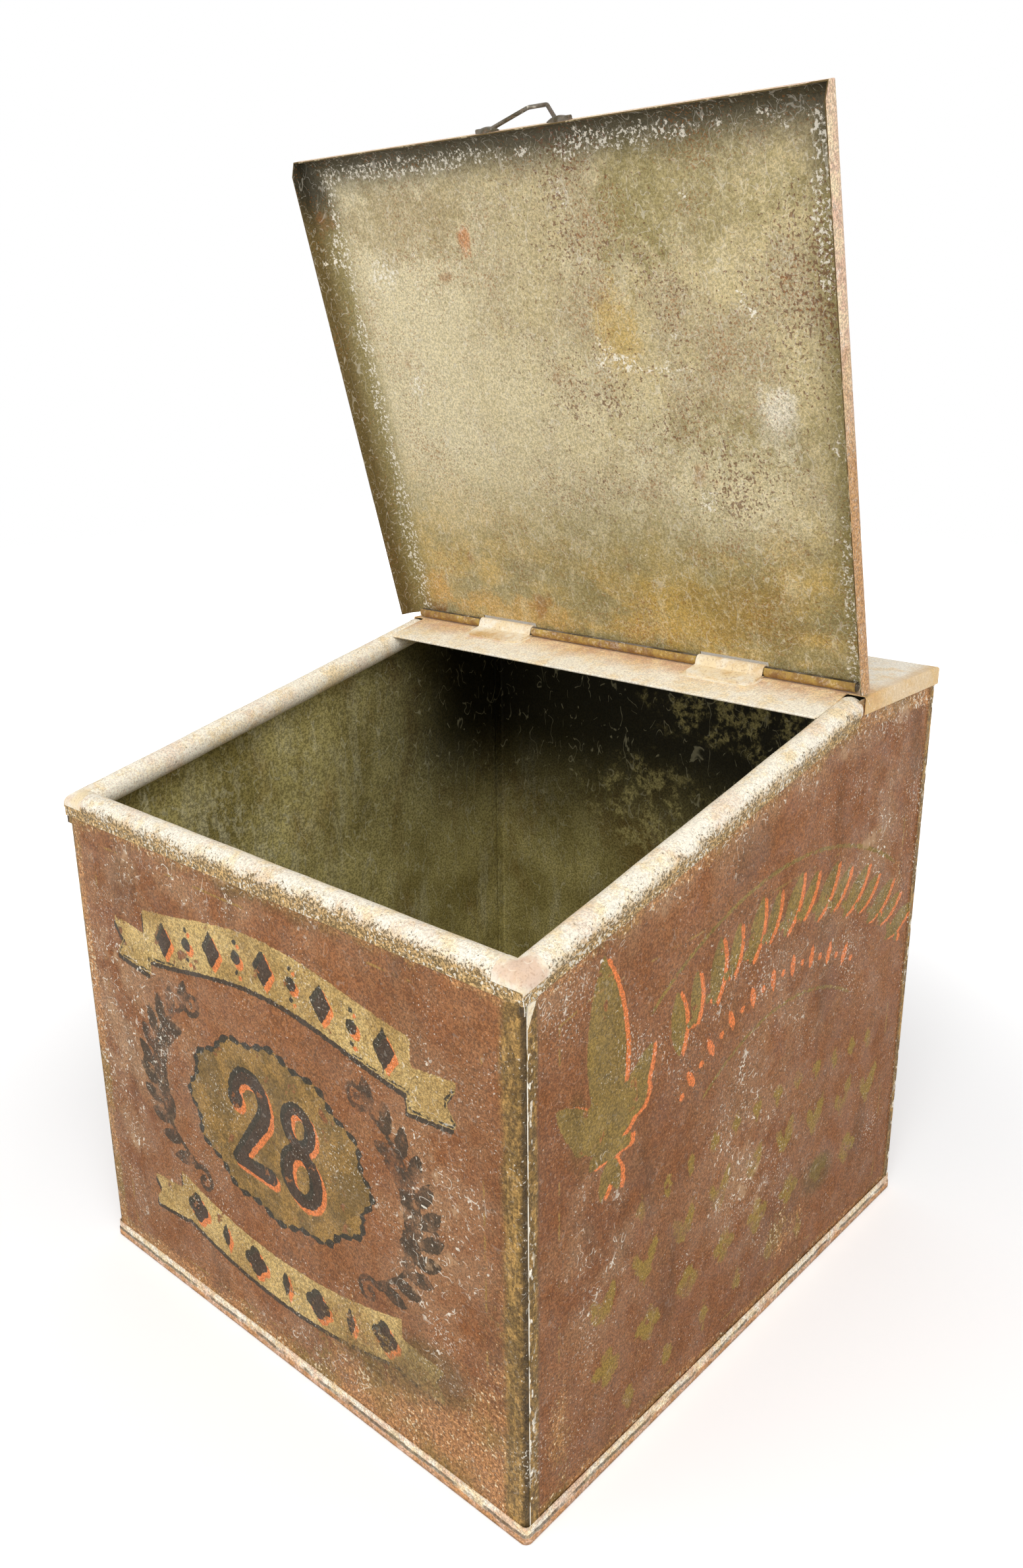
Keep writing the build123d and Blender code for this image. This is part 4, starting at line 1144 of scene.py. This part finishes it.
def paint_finish(c, name, gilt, worn_gilt, sprig, front):
    """Worn brown paint with artwork, olive varnish along the laps and sandy bare ground where it is
    rubbed away. A dark line runs down the front's corners and beside the sides' lap bands, and
    those bands are chipped white."""
    bench = new_finish(name)
    scuff, band = bench.field("scuff"), bench.field("band")
    base = artwork(bench, c, plain_paint(bench, c, scuff), gilt, worn_gilt, sprig, front)
    drift, grain = bench.drift(30, 6, 0.7, 1.3), bench.noise(420, 5, 0.8)
    worn = bench.ramp(bench.field("sand") + drift + (grain - 0.5) * 1.5, 0.42, 0.62)
    sand = bench.layers(
        c.rust_sand, (c.rust_tan, bench.cloud(520, 5, 0.82, 0.36, 0.66)),
        (c.varnish, bench.patches(22, 0.54, 0.12)), (c.cream, bench.specks(480, 0.64, 40) * 0.8),
    )
    strayed = band + drift * 0.75
    olive = bench.ramp(strayed, 0.7, 1.15, 0.85, 0)
    varnish = bench.layers(
        c.varnish, (c.varnish_dark, bench.ramp(grain, 0.4, 0.56)),
        (c.ochre, bench.patches(300, 0.55, 0.06, rise=0.5) * 0.5),
    )
    streak = bench.cloud(420, 4, 0.6, 0.56, 0.68, rise=34 / 420)
    coats = [
        (bench.gritty(sand, 0.16, 520), worn * 0.8),
        (c.varnish_dark, bench.ramp(drift * 0.9 + bench.field("grime"), 0.35, 0.75, end=0.6)),
        (varnish, olive), (c.ochre, streak * olive * 0.45),
    ]
    if front:
        coats.append((c.rust_dark, bench.ramp(band + drift * 0.08, 0.02, 0.2, 0.8, 0)))
    else:
        coats.append((c.rust_dark, bench.ramp(abs(band - 1.06), 0.02, 0.1, 0.45, 0)))
        chips = bench.specks(420, 0.62, 48, rise=0.4)
        coats.append((c.white, chips * bench.ramp(strayed, 0.1, 0.9, 1, 0) * 0.9))
    base = scuffed(bench, c, bench.layers(base, *coats), scuff)
    relief = bench.noise(700, 5, 0.75) - worn * 0.6
    bench.finish(base, bench.cloud(60, 5, 0.55, 0.3, 0.7, 0.45, 0.7), relief, 0.12)


def inside_colour(bench, c):
    """Dull olive metal: clouds, upright pale streaks, scratches, flaked patches, rust, painted
    shadow that deepens under the shelf, and scraped marks of plain inside colour in that shadow."""
    top = SHELF_HIGH.z
    down = bench.noise(50, 8, 0.75, rise=0.22)
    flaked = bench.patches(11, 0.58, 0.09) * bench.patches(230, 0.53, 0.06, rise=0.55)
    back = bench.ramp(bench.axis("Y"), -0.02, 0.14)
    drift = bench.drift(26, 7, 0.75, 2.4)
    scraped = bench.patches(70, 0.5, 0.06) * bench.patches(300, 0.48, 0.08) * back * 0.6
    marks = ((0.03, -0.05, 0.06, 0.03), (-0.03, -0.13, 0.06, 0.04), (0.1, -0.09, 0.05, 0.05))
    base = bench.layers(
        c.inside,
        (c.inside_dark, bench.patches(9, 0.5, 0.16)),
        (c.inside_pale, bench.ramp(down, 0.5, 0.7, end=0.55)),
        (c.inside_dark, bench.ramp(down, 0.3, 0.46, 0.45, 0)),
        (c.inside_dark, bench.cloud(330, 5, 0.8, 0.5, 0.66, end=0.35)),
        (c.varnish, bench.patches(19, 0.6, 0.08, rise=0.6) * 0.6),
        (c.inside_pale, flaked * 0.42),
        (c.inside_pale, bench.lint(70, 0.014, 0.5, rise=0.5) * 0.55),
        # Painted shadow of the shelf: near-black towards the top of the inside walls and towards the back.
        (c.shelf_shadow, bench.ramp(bench.axis("Z"), top - 0.2, top - 0.08) * back * 0.97),
        *((c.inside, bench.spot(x, top + z, wide, tall, drift) * scraped) for x, z, wide, tall in marks),
    )
    scratch = bench.lint(110, 0.02, 0.5, rise=0.6) * 0.4
    return bench.layers(bench.gritty(base, 0.36, 700), (c.inside_pale, scratch))


def inside_finish(c):
    """Dull olive metal inside the bin."""
    bench = new_finish("dull_inside")
    rough = bench.cloud(40, 5, 0.55, 0.3, 0.7, 0.4, 0.7)
    bench.finish(inside_colour(bench, c), rough, bench.noise(500, 5, 0.7), 0.1)


def rim_finish(c):
    """Rolled rim worn to pale metal on top, with fine dark pits over ochre on its outer side."""
    bench = new_finish("worn_rim")
    sift = bench.noise(1150, 3, 0.8)
    side = bench.field("around") + bench.drift(90, 6, 0.75, 0.4)
    dusky = bench.layers(c.ochre, (c.varnish, bench.cloud(260, 5, 0.8, 0.48, 0.66)))
    pits = bench.ramp(bench.ramp(side, 0.64, 0.84) * 0.16 + bench.noise(800, 3, 0.75), 0.64, 0.69)
    base = bench.layers(
        c.cream,
        (c.white, bench.cloud(70, 7, 0.75, 0.36, 0.54)),
        (c.blush, bench.patches(42, 0.56, 0.06) * 0.35),
        (c.tan, bench.ramp(sift, 0.52, 0.66, end=0.4)),
        (dusky, bench.ramp(side, 0.7, 0.86, end=0.85)),
        (c.varnish_dark, pits * 0.85),
    )
    base = bench.layers(bench.gritty(base, 0.16), (c.white, bench.specks(620, 0.62, 70) * 0.8))
    bench.finish(base, 0.5, sift - pits * 0.8, 0.25)


def edge_finish(name, dull, raw, amount):
    """Cut edges of the sheets: raw metal, broken by brown."""
    bench = new_finish(name)
    shown = bench.cloud(110, 5, 0.75, amount - 0.05, amount + 0.05, rise=46 / 110)
    bench.finish(bench.layers(dull, (raw, shown)), 0.5, bench.noise(900, 3, 0.55), 0.05)


# The lid's stains: place across, share of its height, half sizes, strength and colour
STAINS = (
    (-0.1, 0.87, 0.055, 0.022, 0.5, "varnish"),
    (0.0, 0.78, 0.07, 0.06, 0.4, "lid_grey"),
    (0.05, 0.86, 0.02, 0.035, 0.6, "lid_olive"),
    (0.09, 0.88, 0.05, 0.03, 0.55, "lid_olive"),
    (0.035, 0.65, 0.014, 0.022, 0.6, "lid_yellow"),
    (-0.058, 0.83, 0.005, 0.008, 0.5, "orange"),
    (0.124, 0.5, 0.012, 0.018, 0.65, "white"),
    (0.1, 0.45, 0.06, 0.02, 0.55, "lid_olive"),
    (0.085, 0.36, 0.06, 0.03, 0.6, "lid_pale"),
    (0.0, 0.24, 0.12, 0.035, 0.4, "lid_olive"),
    (-0.02, 0.45, 0.07, 0.06, 0.4, "lid_pale"),
    (-0.146, 0.07, 0.018, 0.014, 0.85, "ochre"),
    (-0.08, 0.05, 0.05, 0.012, 0.6, "ochre"),
    (0.06, 0.1, 0.05, 0.02, 0.6, "lid_yellow"),
    (0.1, 0.13, 0.04, 0.02, 0.5, "varnish"),
    (-0.15, 0.02, 0.02, 0.01, 0.7, "rust"),
)
FLAKED = ((0.033, 0.6, 0.012, 0.005), (0.06, 0.585, 0.018, 0.002), (-0.129, 0.77, 0.012, 0.012))


def lid_varnish(bench, c, drift, stain):
    """Khaki varnish with fine hairlines and grain, an olive and yellow rear, and stains of its own at
    set places."""
    x, z = bench.axis("X"), bench.axis("Z")
    rear = bench.ramp(drift * 0.05 + z, LID_LOW.z + 0.03, LID_LOW.z + 0.11, 1, 0)
    rear_tone = bench.layers(c.lid_olive, (c.lid_yellow, bench.patches(20, 0.52, 0.1, rise=2)))
    grain = bench.noise(430, 5, 0.82)
    return bench.layers(
        c.lid,
        (c.lid_grey, bench.cloud(26, 7, 0.75, 0.4, 0.6)),
        # Paler towards the lid's left side.
        (c.lid_pale, bench.ramp(drift * 0.07 + x, -0.11, 0.0, 0.85, 0)),
        (rear_tone, rear * 0.75),
        *((getattr(c, tone), stain(*place) * strength) for *place, strength, tone in STAINS),
        (c.lid_pale, bench.cloud(90, 7, 0.75, 0.5, 0.68, end=0.45, rise=24 / 90)),
        (c.lid_olive, bench.ramp(grain, 0.5, 0.64, end=0.5)),
        (c.lid_pale, bench.ramp(grain, 0.36, 0.48, 0.4, 0)),
    )


def lid_flakes(bench, inward, stain):
    """White flakes where two noises and the fold's nearness add up, a few lone ones at set places,
    and faint threads."""
    crumb = bench.patches(560, 0.55, 0.03)
    near_fold = bench.ramp(abs(inward - 3 * MM), 1 * MM, 9 * MM, 0.24, 0)
    loose = bench.noise(170, 5, 0.75) * 0.5 + bench.noise(24, 4, 0.65) + near_fold
    lone = bench.most(bench.patches(27, 0.69, 0.02), *(stain(*place) for place in FLAKED))
    threads = bench.most(bench.lint(190, 0.024, 0.47), bench.lint(130, 0.016, 0.47, rise=0.45))
    return bench.most(bench.ramp(loose, 0.91, 0.95) * crumb, lone * crumb, threads * 0.34)


def lid_finish(c):
    """Underside of the lid: stained varnish; folds darkened by grime and, towards the front fold,
    by painted shade, edged with white flakes; fine rust pits over the middle, and a rusty curl."""
    bench = new_finish("lid_under")
    x, z, inward = bench.axis("X"), bench.axis("Z"), bench.field("inward")
    drift, tear = bench.drift(11, 6, 0.65, 2), bench.drift(55, 8, 0.8, 4.4)

    def stain(across, share_up, wide, high):
        return bench.spot(across, LID_LOW.z + share_up * (LID_HIGH.z - LID_LOW.z), wide, high, tear)

    top = bench.ramp(z, LID_HIGH.z - 0.045, LID_HIGH.z - 0.014)
    fold = bench.ramp(drift * (6 * MM) + inward, -3 * MM, 17 * MM, 0.9, 0)
    deep = bench.ramp(inward, -11 * MM, 2 * MM, 0.95, 0) * 0.85
    middle = bench.ramp(x, -0.11, 0.02) * bench.ramp(z, LID_LOW.z + 0.05, LID_LOW.z + 0.1)
    base = bench.layers(
        lid_varnish(bench, c, drift, stain),
        # Painted shade: towards the top the fold colours turn to the lid shadow and the darkest shade; along
        # the side folds the olive and dark varnish are grime.
        (bench.mix(top, c.lid_olive, c.lid_shadow), fold),
        (bench.mix(top, c.varnish_dark, c.lid_deepest_shade), deep),
        (c.rust_red, bench.specks(620, 0.655, 16) * middle * 0.75),
        (c.rust, bench.specks(900, 0.65, 26) * 0.5),
        (c.rust, bench.patches(23, 0.67, 0.04) * 0.5),
    )
    rusty = bench.layers(c.rust_sand, (c.lid_yellow, bench.cloud(120, 7, 0.8, 0.38, 0.64)))
    base = bench.layers(
        bench.gritty(base, 0.2), (c.white, lid_flakes(bench, inward, stain) * 0.9),
        (rusty, bench.ramp(bench.field("around"), 0.3, 0.7) * 0.75),
    )
    bench.finish(base, bench.cloud(50, 5, 0.55, 0.3, 0.7, 0.42, 0.66), bench.noise(600, 5, 0.7), 0.08)


def lid_paint_finish(c):
    """Outside of the lid: brown paint, rubbed to pinkish tan metal along its folds."""
    bench = new_finish("lid_paint")
    scuff = bench.noise(9, 3, 0.55) * 0.8 - 0.1
    near = bench.field("inward") + bench.drift(22, 6, 0.7, 26 * MM) + bench.drift(300, 6, 0.8, 16 * MM)
    lower = bench.noise(34, 7, 0.75) * 0.16 + bench.axis("Z")
    lower = bench.ramp(lower, LID_LOW.z + 0.18, LID_LOW.z + 0.27, 1, 0)
    tone = bench.layers(
        c.blush,
        (c.cream, bench.cloud(55, 7, 0.78, 0.4, 0.6)),
        (c.tan, lower),
        (c.blush, bench.cloud(420, 5, 0.82, 0.5, 0.64, end=0.6)),
        (c.rust_sand, bench.cloud(520, 5, 0.82, 0.46, 0.6) * (lower * 0.45 + 0.25)),
        (c.white, bench.cloud(260, 5, 0.82, 0.56, 0.64, end=0.6)),
    )
    base = bench.layers(plain_paint(bench, c, scuff), (tone, bench.ramp(near, 0, 6 * MM, 0.95, 0)))
    bench.finish(scuffed(bench, c, base, scuff), 0.55, bench.noise(700, 5, 0.75), 0.12)


def pale_finish(c, name, first, second, stain, stain_level, freckle, relief=0.12):
    """Pale worn metal with stains of a third colour, rust freckles and scratches."""
    bench = new_finish(name)
    base = bench.layers(
        first,
        (second, bench.cloud(60, 7, 0.75, 0.4, 0.62)),
        (stain, bench.patches(34, stain_level, 0.08) * 0.75),
        (c.rust_sand, bench.cloud(700, 4, 0.8, 0.5, 0.66, end=freckle)),
        (c.rust, bench.specks(520, 0.66, 40) * freckle),
        (c.white, bench.lint(120, 0.02, 0.54) * 0.5),
    )
    bench.finish(base, 0.52, bench.noise(600, 5, 0.75), relief)


def shelf_finish(c):
    """Top plate: pale cream metal, stained orange tan near the hinge and along its edges."""
    bench = new_finish("shelf_metal")
    drift = bench.drift(45, 7, 0.75, 50 * MM)
    rear = abs(drift * 0.4 + bench.axis("Y") - HINGE.y)
    warm = bench.layers(c.straw, (c.rust_tan, bench.cloud(75, 7, 0.78, 0.4, 0.58)))
    side = abs(bench.axis("X")) + drift * 0.5
    base = bench.layers(
        c.cream,
        (c.white, bench.cloud(50, 7, 0.75, 0.34, 0.54)),
        (warm, bench.ramp(rear, 5 * MM, 26 * MM, 0.75, 0)),
        (c.straw, bench.patches(60, 0.6, 0.05) * 0.5),
        (c.rust_sand, bench.cloud(800, 4, 0.8, 0.54, 0.68, end=0.4)),
    )
    base = bench.layers(
        bench.gritty(base, 0.14), (c.ochre, bench.ramp(side, SHELF_HIGH.x - 12 * MM, SHELF_HIGH.x, end=0.6)),
        (c.white, bench.lint(130, 0.02, 0.54) * 0.6),
    )
    bench.finish(base, 0.5, bench.noise(600, 5, 0.75), 0.12)


def pan_finish(c):
    """Bottom pan: a ragged pale ridge on top, a dark line under it, an orange pink foot, and dull
    metal where it floors the bin."""
    bench = new_finish("pan_metal")
    height = bench.axis("Z") + bench.drift(40, 6, 0.75, 5 * MM)
    foot = bench.layers(
        c.rust_tan, (c.blush, bench.cloud(80, 7, 0.78, 0.42, 0.6)),
        (c.rust_sand, bench.cloud(420, 4, 0.8, 0.46, 0.62, end=0.7)),
    )
    ridge = bench.layers(
        c.cream,
        (c.white, bench.cloud(130, 6, 0.75, 0.42, 0.58)),
        (c.blush, bench.patches(60, 0.54, 0.06) * 0.7),
        (c.tan, bench.cloud(600, 4, 0.8, 0.5, 0.64, end=0.7)),
    )
    dirt = bench.ramp(abs(height - 5 * MM), 0.3 * MM, 1.1 * MM, 0.75, 0) * bench.patches(36, 0.45, 0.06)
    base = bench.layers(foot, (ridge, bench.ramp(height, 3.6 * MM, 5 * MM)), (c.rust_dark, dirt))
    within = (
        bench.maths("LESS_THAN", abs(bench.axis("X")), BACK_HIGH.x - 0.3 * MM)
        * bench.maths("LESS_THAN", abs(bench.axis("Y")), BACK_HIGH.y - 0.6 * MM)
    )
    base = bench.layers(
        bench.gritty(base, 0.25), (c.rust_dark, bench.ramp(height, 0, 2.4 * MM, 0.55, 0)),
        (inside_colour(bench, c), within),
    )
    bench.finish(base, 0.55, bench.noise(500, 5, 0.78), 0.2)


def back_finish(c, mouth):
    """Back wall: painted outside and dull inside, told apart by the sheet's middle plane."""
    bench = new_finish("back_paint")
    scuff = bench.noise(9, 3, 0.55) * 0.9 - 0.1
    edge = bench.maths("MINIMUM", mouth.half_width - abs(bench.axis("X")), bench.axis("Z"))
    worn = bench.ramp(edge + bench.drift(26, 7, 0.75, 34 * MM), 5 * MM, 17 * MM, 0.9, 0)
    tone = bench.layers(c.varnish, (c.tan, bench.cloud(420, 5, 0.8, 0.44, 0.6)))
    paint = scuffed(bench, c, bench.layers(plain_paint(bench, c, scuff), (tone, worn)), scuff)
    out = bench.maths("GREATER_THAN", bench.axis("Y"), mouth.half_depth - 0.3 * MM)
    rough = bench.cloud(60, 5, 0.55, 0.3, 0.7, 0.45, 0.7)
    bench.finish(bench.mix(out, inside_colour(bench, c), paint), rough, bench.noise(700, 5, 0.75), 0.12)


def finish_named(name):
    """A finish made by the finishes operator."""
    if name not in bpy.data.materials:
        raise RuntimeError(f"{name}: make the finishes first")
    return bpy.data.materials[name]


# Sheets and wires that keep their own shape, and their finishes
COVERED = {
    "back_panel": "back_paint", "bottom_pan": "pan_metal", "top_plate": "shelf_metal",
    "left_hinge_strap": "strap_metal", "right_hinge_strap": "strap_metal",
    "rim_corner_solder": "old_solder", "strap_solder": "old_solder",
    "hinge_wire": "iron", "lid_handle": "iron", "handle_solder": "iron",
}


class TEABIN_OT_finishes(bpy.types.Operator):
    """Make the shared effects and every finish, and dress the sheets that keep their own shape."""

    bl_idname = "teabin.finishes"
    bl_label = "Finishes"

    def execute(self, context):
        c = context.scene.teabin_colours
        make_effects()
        paint_finish(c, "front_paint", c.gold, c.old_gold, c.ink, front=True)
        paint_finish(c, "side_paint", c.dim_gold, c.varnish, c.dim_gold, front=False)
        inside_finish(c)
        rim_finish(c)
        edge_finish("cut_edge", c.varnish, c.white, 0.44)
        edge_finish("lid_edge", c.varnish_dark, c.lid_grey, 0.58)
        lid_finish(c)
        lid_paint_finish(c)
        back_finish(c, Mouth(context.scene.teabin_sizes))
        pan_finish(c)
        shelf_finish(c)
        pale_finish(c, "strap_metal", c.cream, c.white, c.ochre, 0.58, 0.3)
        pale_finish(c, "old_solder", c.white, c.cream, c.blush, 0.58, 0.25, 0.3)
        pale_finish(c, "iron", c.steel, c.lid_shadow, c.rust_dark, 0.56, 0.3)
        for node, finish in COVERED.items():
            for slot in frame["nodes"][node].material_slots:
                slot.material = finish_named(finish)
        return {"FINISHED"}


class TEABIN_OT_walls(bpy.types.Operator):
    """Make the front wall and both side walls with their rolled rim."""

    bl_idname = "teabin.walls"
    bl_label = "Walls"

    def execute(self, context):
        sizes = context.scene.teabin_sizes
        names = ("front_paint", "side_paint", "dull_inside", "worn_rim", "cut_edge")
        front, side, *rest = map(finish_named, names)
        build_front(sizes, [front, *rest])
        build_side(sizes, [side, *rest], 1)
        build_side(sizes, [side, *rest], -1)
        return {"FINISHED"}


class TEABIN_OT_lid(bpy.types.Operator):
    """Make the lid's folded sheet."""

    bl_idname = "teabin.lid"
    bl_label = "Lid"

    def execute(self, context):
        materials = [finish_named(name) for name in ("lid_paint", "lid_under", "lid_edge")]
        build_lid(context.scene.teabin_sizes, materials)
        return {"FINISHED"}


def seen(bench):
    """1 where the camera sees something, also in a reflection or through glass, else 0."""
    rays = ("Is Camera Ray", "Is Glossy Ray", "Is Transmission Ray")
    return bench.most(*(bench.node("ShaderNodeLightPath", output=ray) for ray in rays))


def hold(data, scene):
    """An object for a mesh, a lamp or a camera, put into the scene."""
    holder = bpy.data.objects.new(data.name, data)
    scene.collection.objects.link(holder)
    return holder


def lay_floor(scene, s):
    """Pale floor that is brighter where it is seen, and fades into the backdrop."""
    half = s.floor_size / 2
    corners = [(-half, -half, 0), (half, -half, 0), (half, half, 0), (-half, half, 0)]
    mesh = bpy.data.meshes.new("floor")
    mesh.from_pydata(corners, [], [(0, 1, 2, 3)])
    floor = hold(mesh, scene)
    bench = new_finish("floor_paper")
    reach = bench.node("ShaderNodeVectorMath", {0: bench.place}, "Value", operation="LENGTH")
    glow = seen(bench) * bench.ramp(reach, 0.3, 1.0, s.floor_lift, 1)
    paper = bench.node("ShaderNodeBsdfDiffuse", {"Color": scene.teabin_colours.floor})
    light = bench.node("ShaderNodeEmission", {"Color": (1, 1, 1), "Strength": glow})
    both = bench.node("ShaderNodeAddShader", {0: paper, 1: light})
    bench.node("ShaderNodeOutputMaterial", {"Surface": both})
    mesh.materials.append(finish_named("floor_paper"))


def light_scene(scene, s):
    """Even light from all round, white where it is seen, and three soft lamps."""
    world = bpy.data.worlds.new("studio")
    world.use_nodes = True
    world.node_tree.nodes.clear()
    bench = Bench(world.node_tree)
    strength = bench.ramp(seen(bench), 0, 1, s.sky_strength, 1)
    sky = bench.node("ShaderNodeBackground", {"Color": (1, 1, 1), "Strength": strength})
    bench.node("ShaderNodeOutputWorld", {"Surface": sky})
    scene.world = world
    aim = Vector((0, 0, 0.25))
    for name, place, energy, size in (
        ("key", (0.9, -1.1, 1.9), s.key_power, 1.2),
        ("low", (-0.5, -2.0, 0.9), s.low_power, 1.4),
        ("side", (2.0, -0.6, 0.9), s.side_power, 1.4),
    ):
        lamp = bpy.data.lights.new(name, "AREA")
        lamp.energy, lamp.size = energy, size
        holder = hold(lamp, scene)
        holder.location = place
        holder.rotation_euler = (aim - Vector(place)).to_track_quat("-Z", "Y").to_euler()


def place_camera(scene, s):
    """Camera turned to its azimuth and elevation, then rolled."""
    level = cos(s.camera_elevation)
    back = Vector((sin(s.camera_azimuth) * level, -cos(s.camera_azimuth) * level, sin(s.camera_elevation)))
    right = Vector((0, 0, 1)).cross(back).normalized()
    up = back.cross(right)
    c, n = cos(s.camera_roll), sin(s.camera_roll)
    axes = Matrix((c * right + n * up, c * up - n * right, back)).transposed().to_4x4()
    camera = bpy.data.cameras.new("camera")
    camera.lens, camera.sensor_width = s.lens, SENSOR
    scene.camera = hold(camera, scene)
    scene.camera.matrix_world = Matrix.Translation(Vector(s.camera_place)) @ axes


class TEABIN_OT_stage(bpy.types.Operator):
    """Set up the floor, the light and the camera."""

    bl_idname = "teabin.stage"
    bl_label = "Stage"

    def execute(self, context):
        scene = context.scene
        scene.view_settings.view_transform = "Standard"
        for make in (lay_floor, light_scene, place_camera):
            make(scene, scene.teabin_stage)
        return {"FINISHED"}


OPERATORS = (TEABIN_OT_stage, TEABIN_OT_finishes, TEABIN_OT_walls, TEABIN_OT_lid)
GROUPS = {
    "teabin_sizes": TEABIN_PG_sizes,
    "teabin_colours": TEABIN_PG_colours,
    "teabin_stage": TEABIN_PG_stage,
}


class TEABIN_PT_panel(bpy.types.Panel):
    """Lists the makers of the tea bin's pieces."""

    bl_label = "Tea Bin"
    bl_idname = "TEABIN_PT_panel"
    bl_space_type = "VIEW_3D"
    bl_region_type = "UI"
    bl_category = "Tea Bin"

    def draw(self, context):
        for operator in OPERATORS:
            self.layout.operator(operator.bl_idname)
        for held in GROUPS:
            box, group = self.layout.box(), getattr(context.scene, held)
            for name in group.bl_rna.properties.keys():
                if name not in ("rna_type", "name"):
                    box.prop(group, name)


def register():
    """Registers the classes and hangs the properties on the scene."""
    for kind in (*GROUPS.values(), *OPERATORS, TEABIN_PT_panel):
        bpy.utils.register_class(kind)
    for name, kind in GROUPS.items():
        setattr(bpy.types.Scene, name, PointerProperty(type=kind))


def unregister():
    """Takes the properties and the classes away again."""
    for name in GROUPS:
        delattr(bpy.types.Scene, name)
    for kind in (TEABIN_PT_panel, *reversed(OPERATORS), *reversed(GROUPS.values())):
        bpy.utils.unregister_class(kind)


def main():
    """Builds the scene."""
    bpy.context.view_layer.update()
    register()
    bpy.ops.teabin.stage()
    bpy.ops.teabin.finishes()
    bpy.ops.teabin.walls()
    bpy.ops.teabin.lid()
    bpy.context.view_layer.update()


if __name__ == "__main__":
    main()
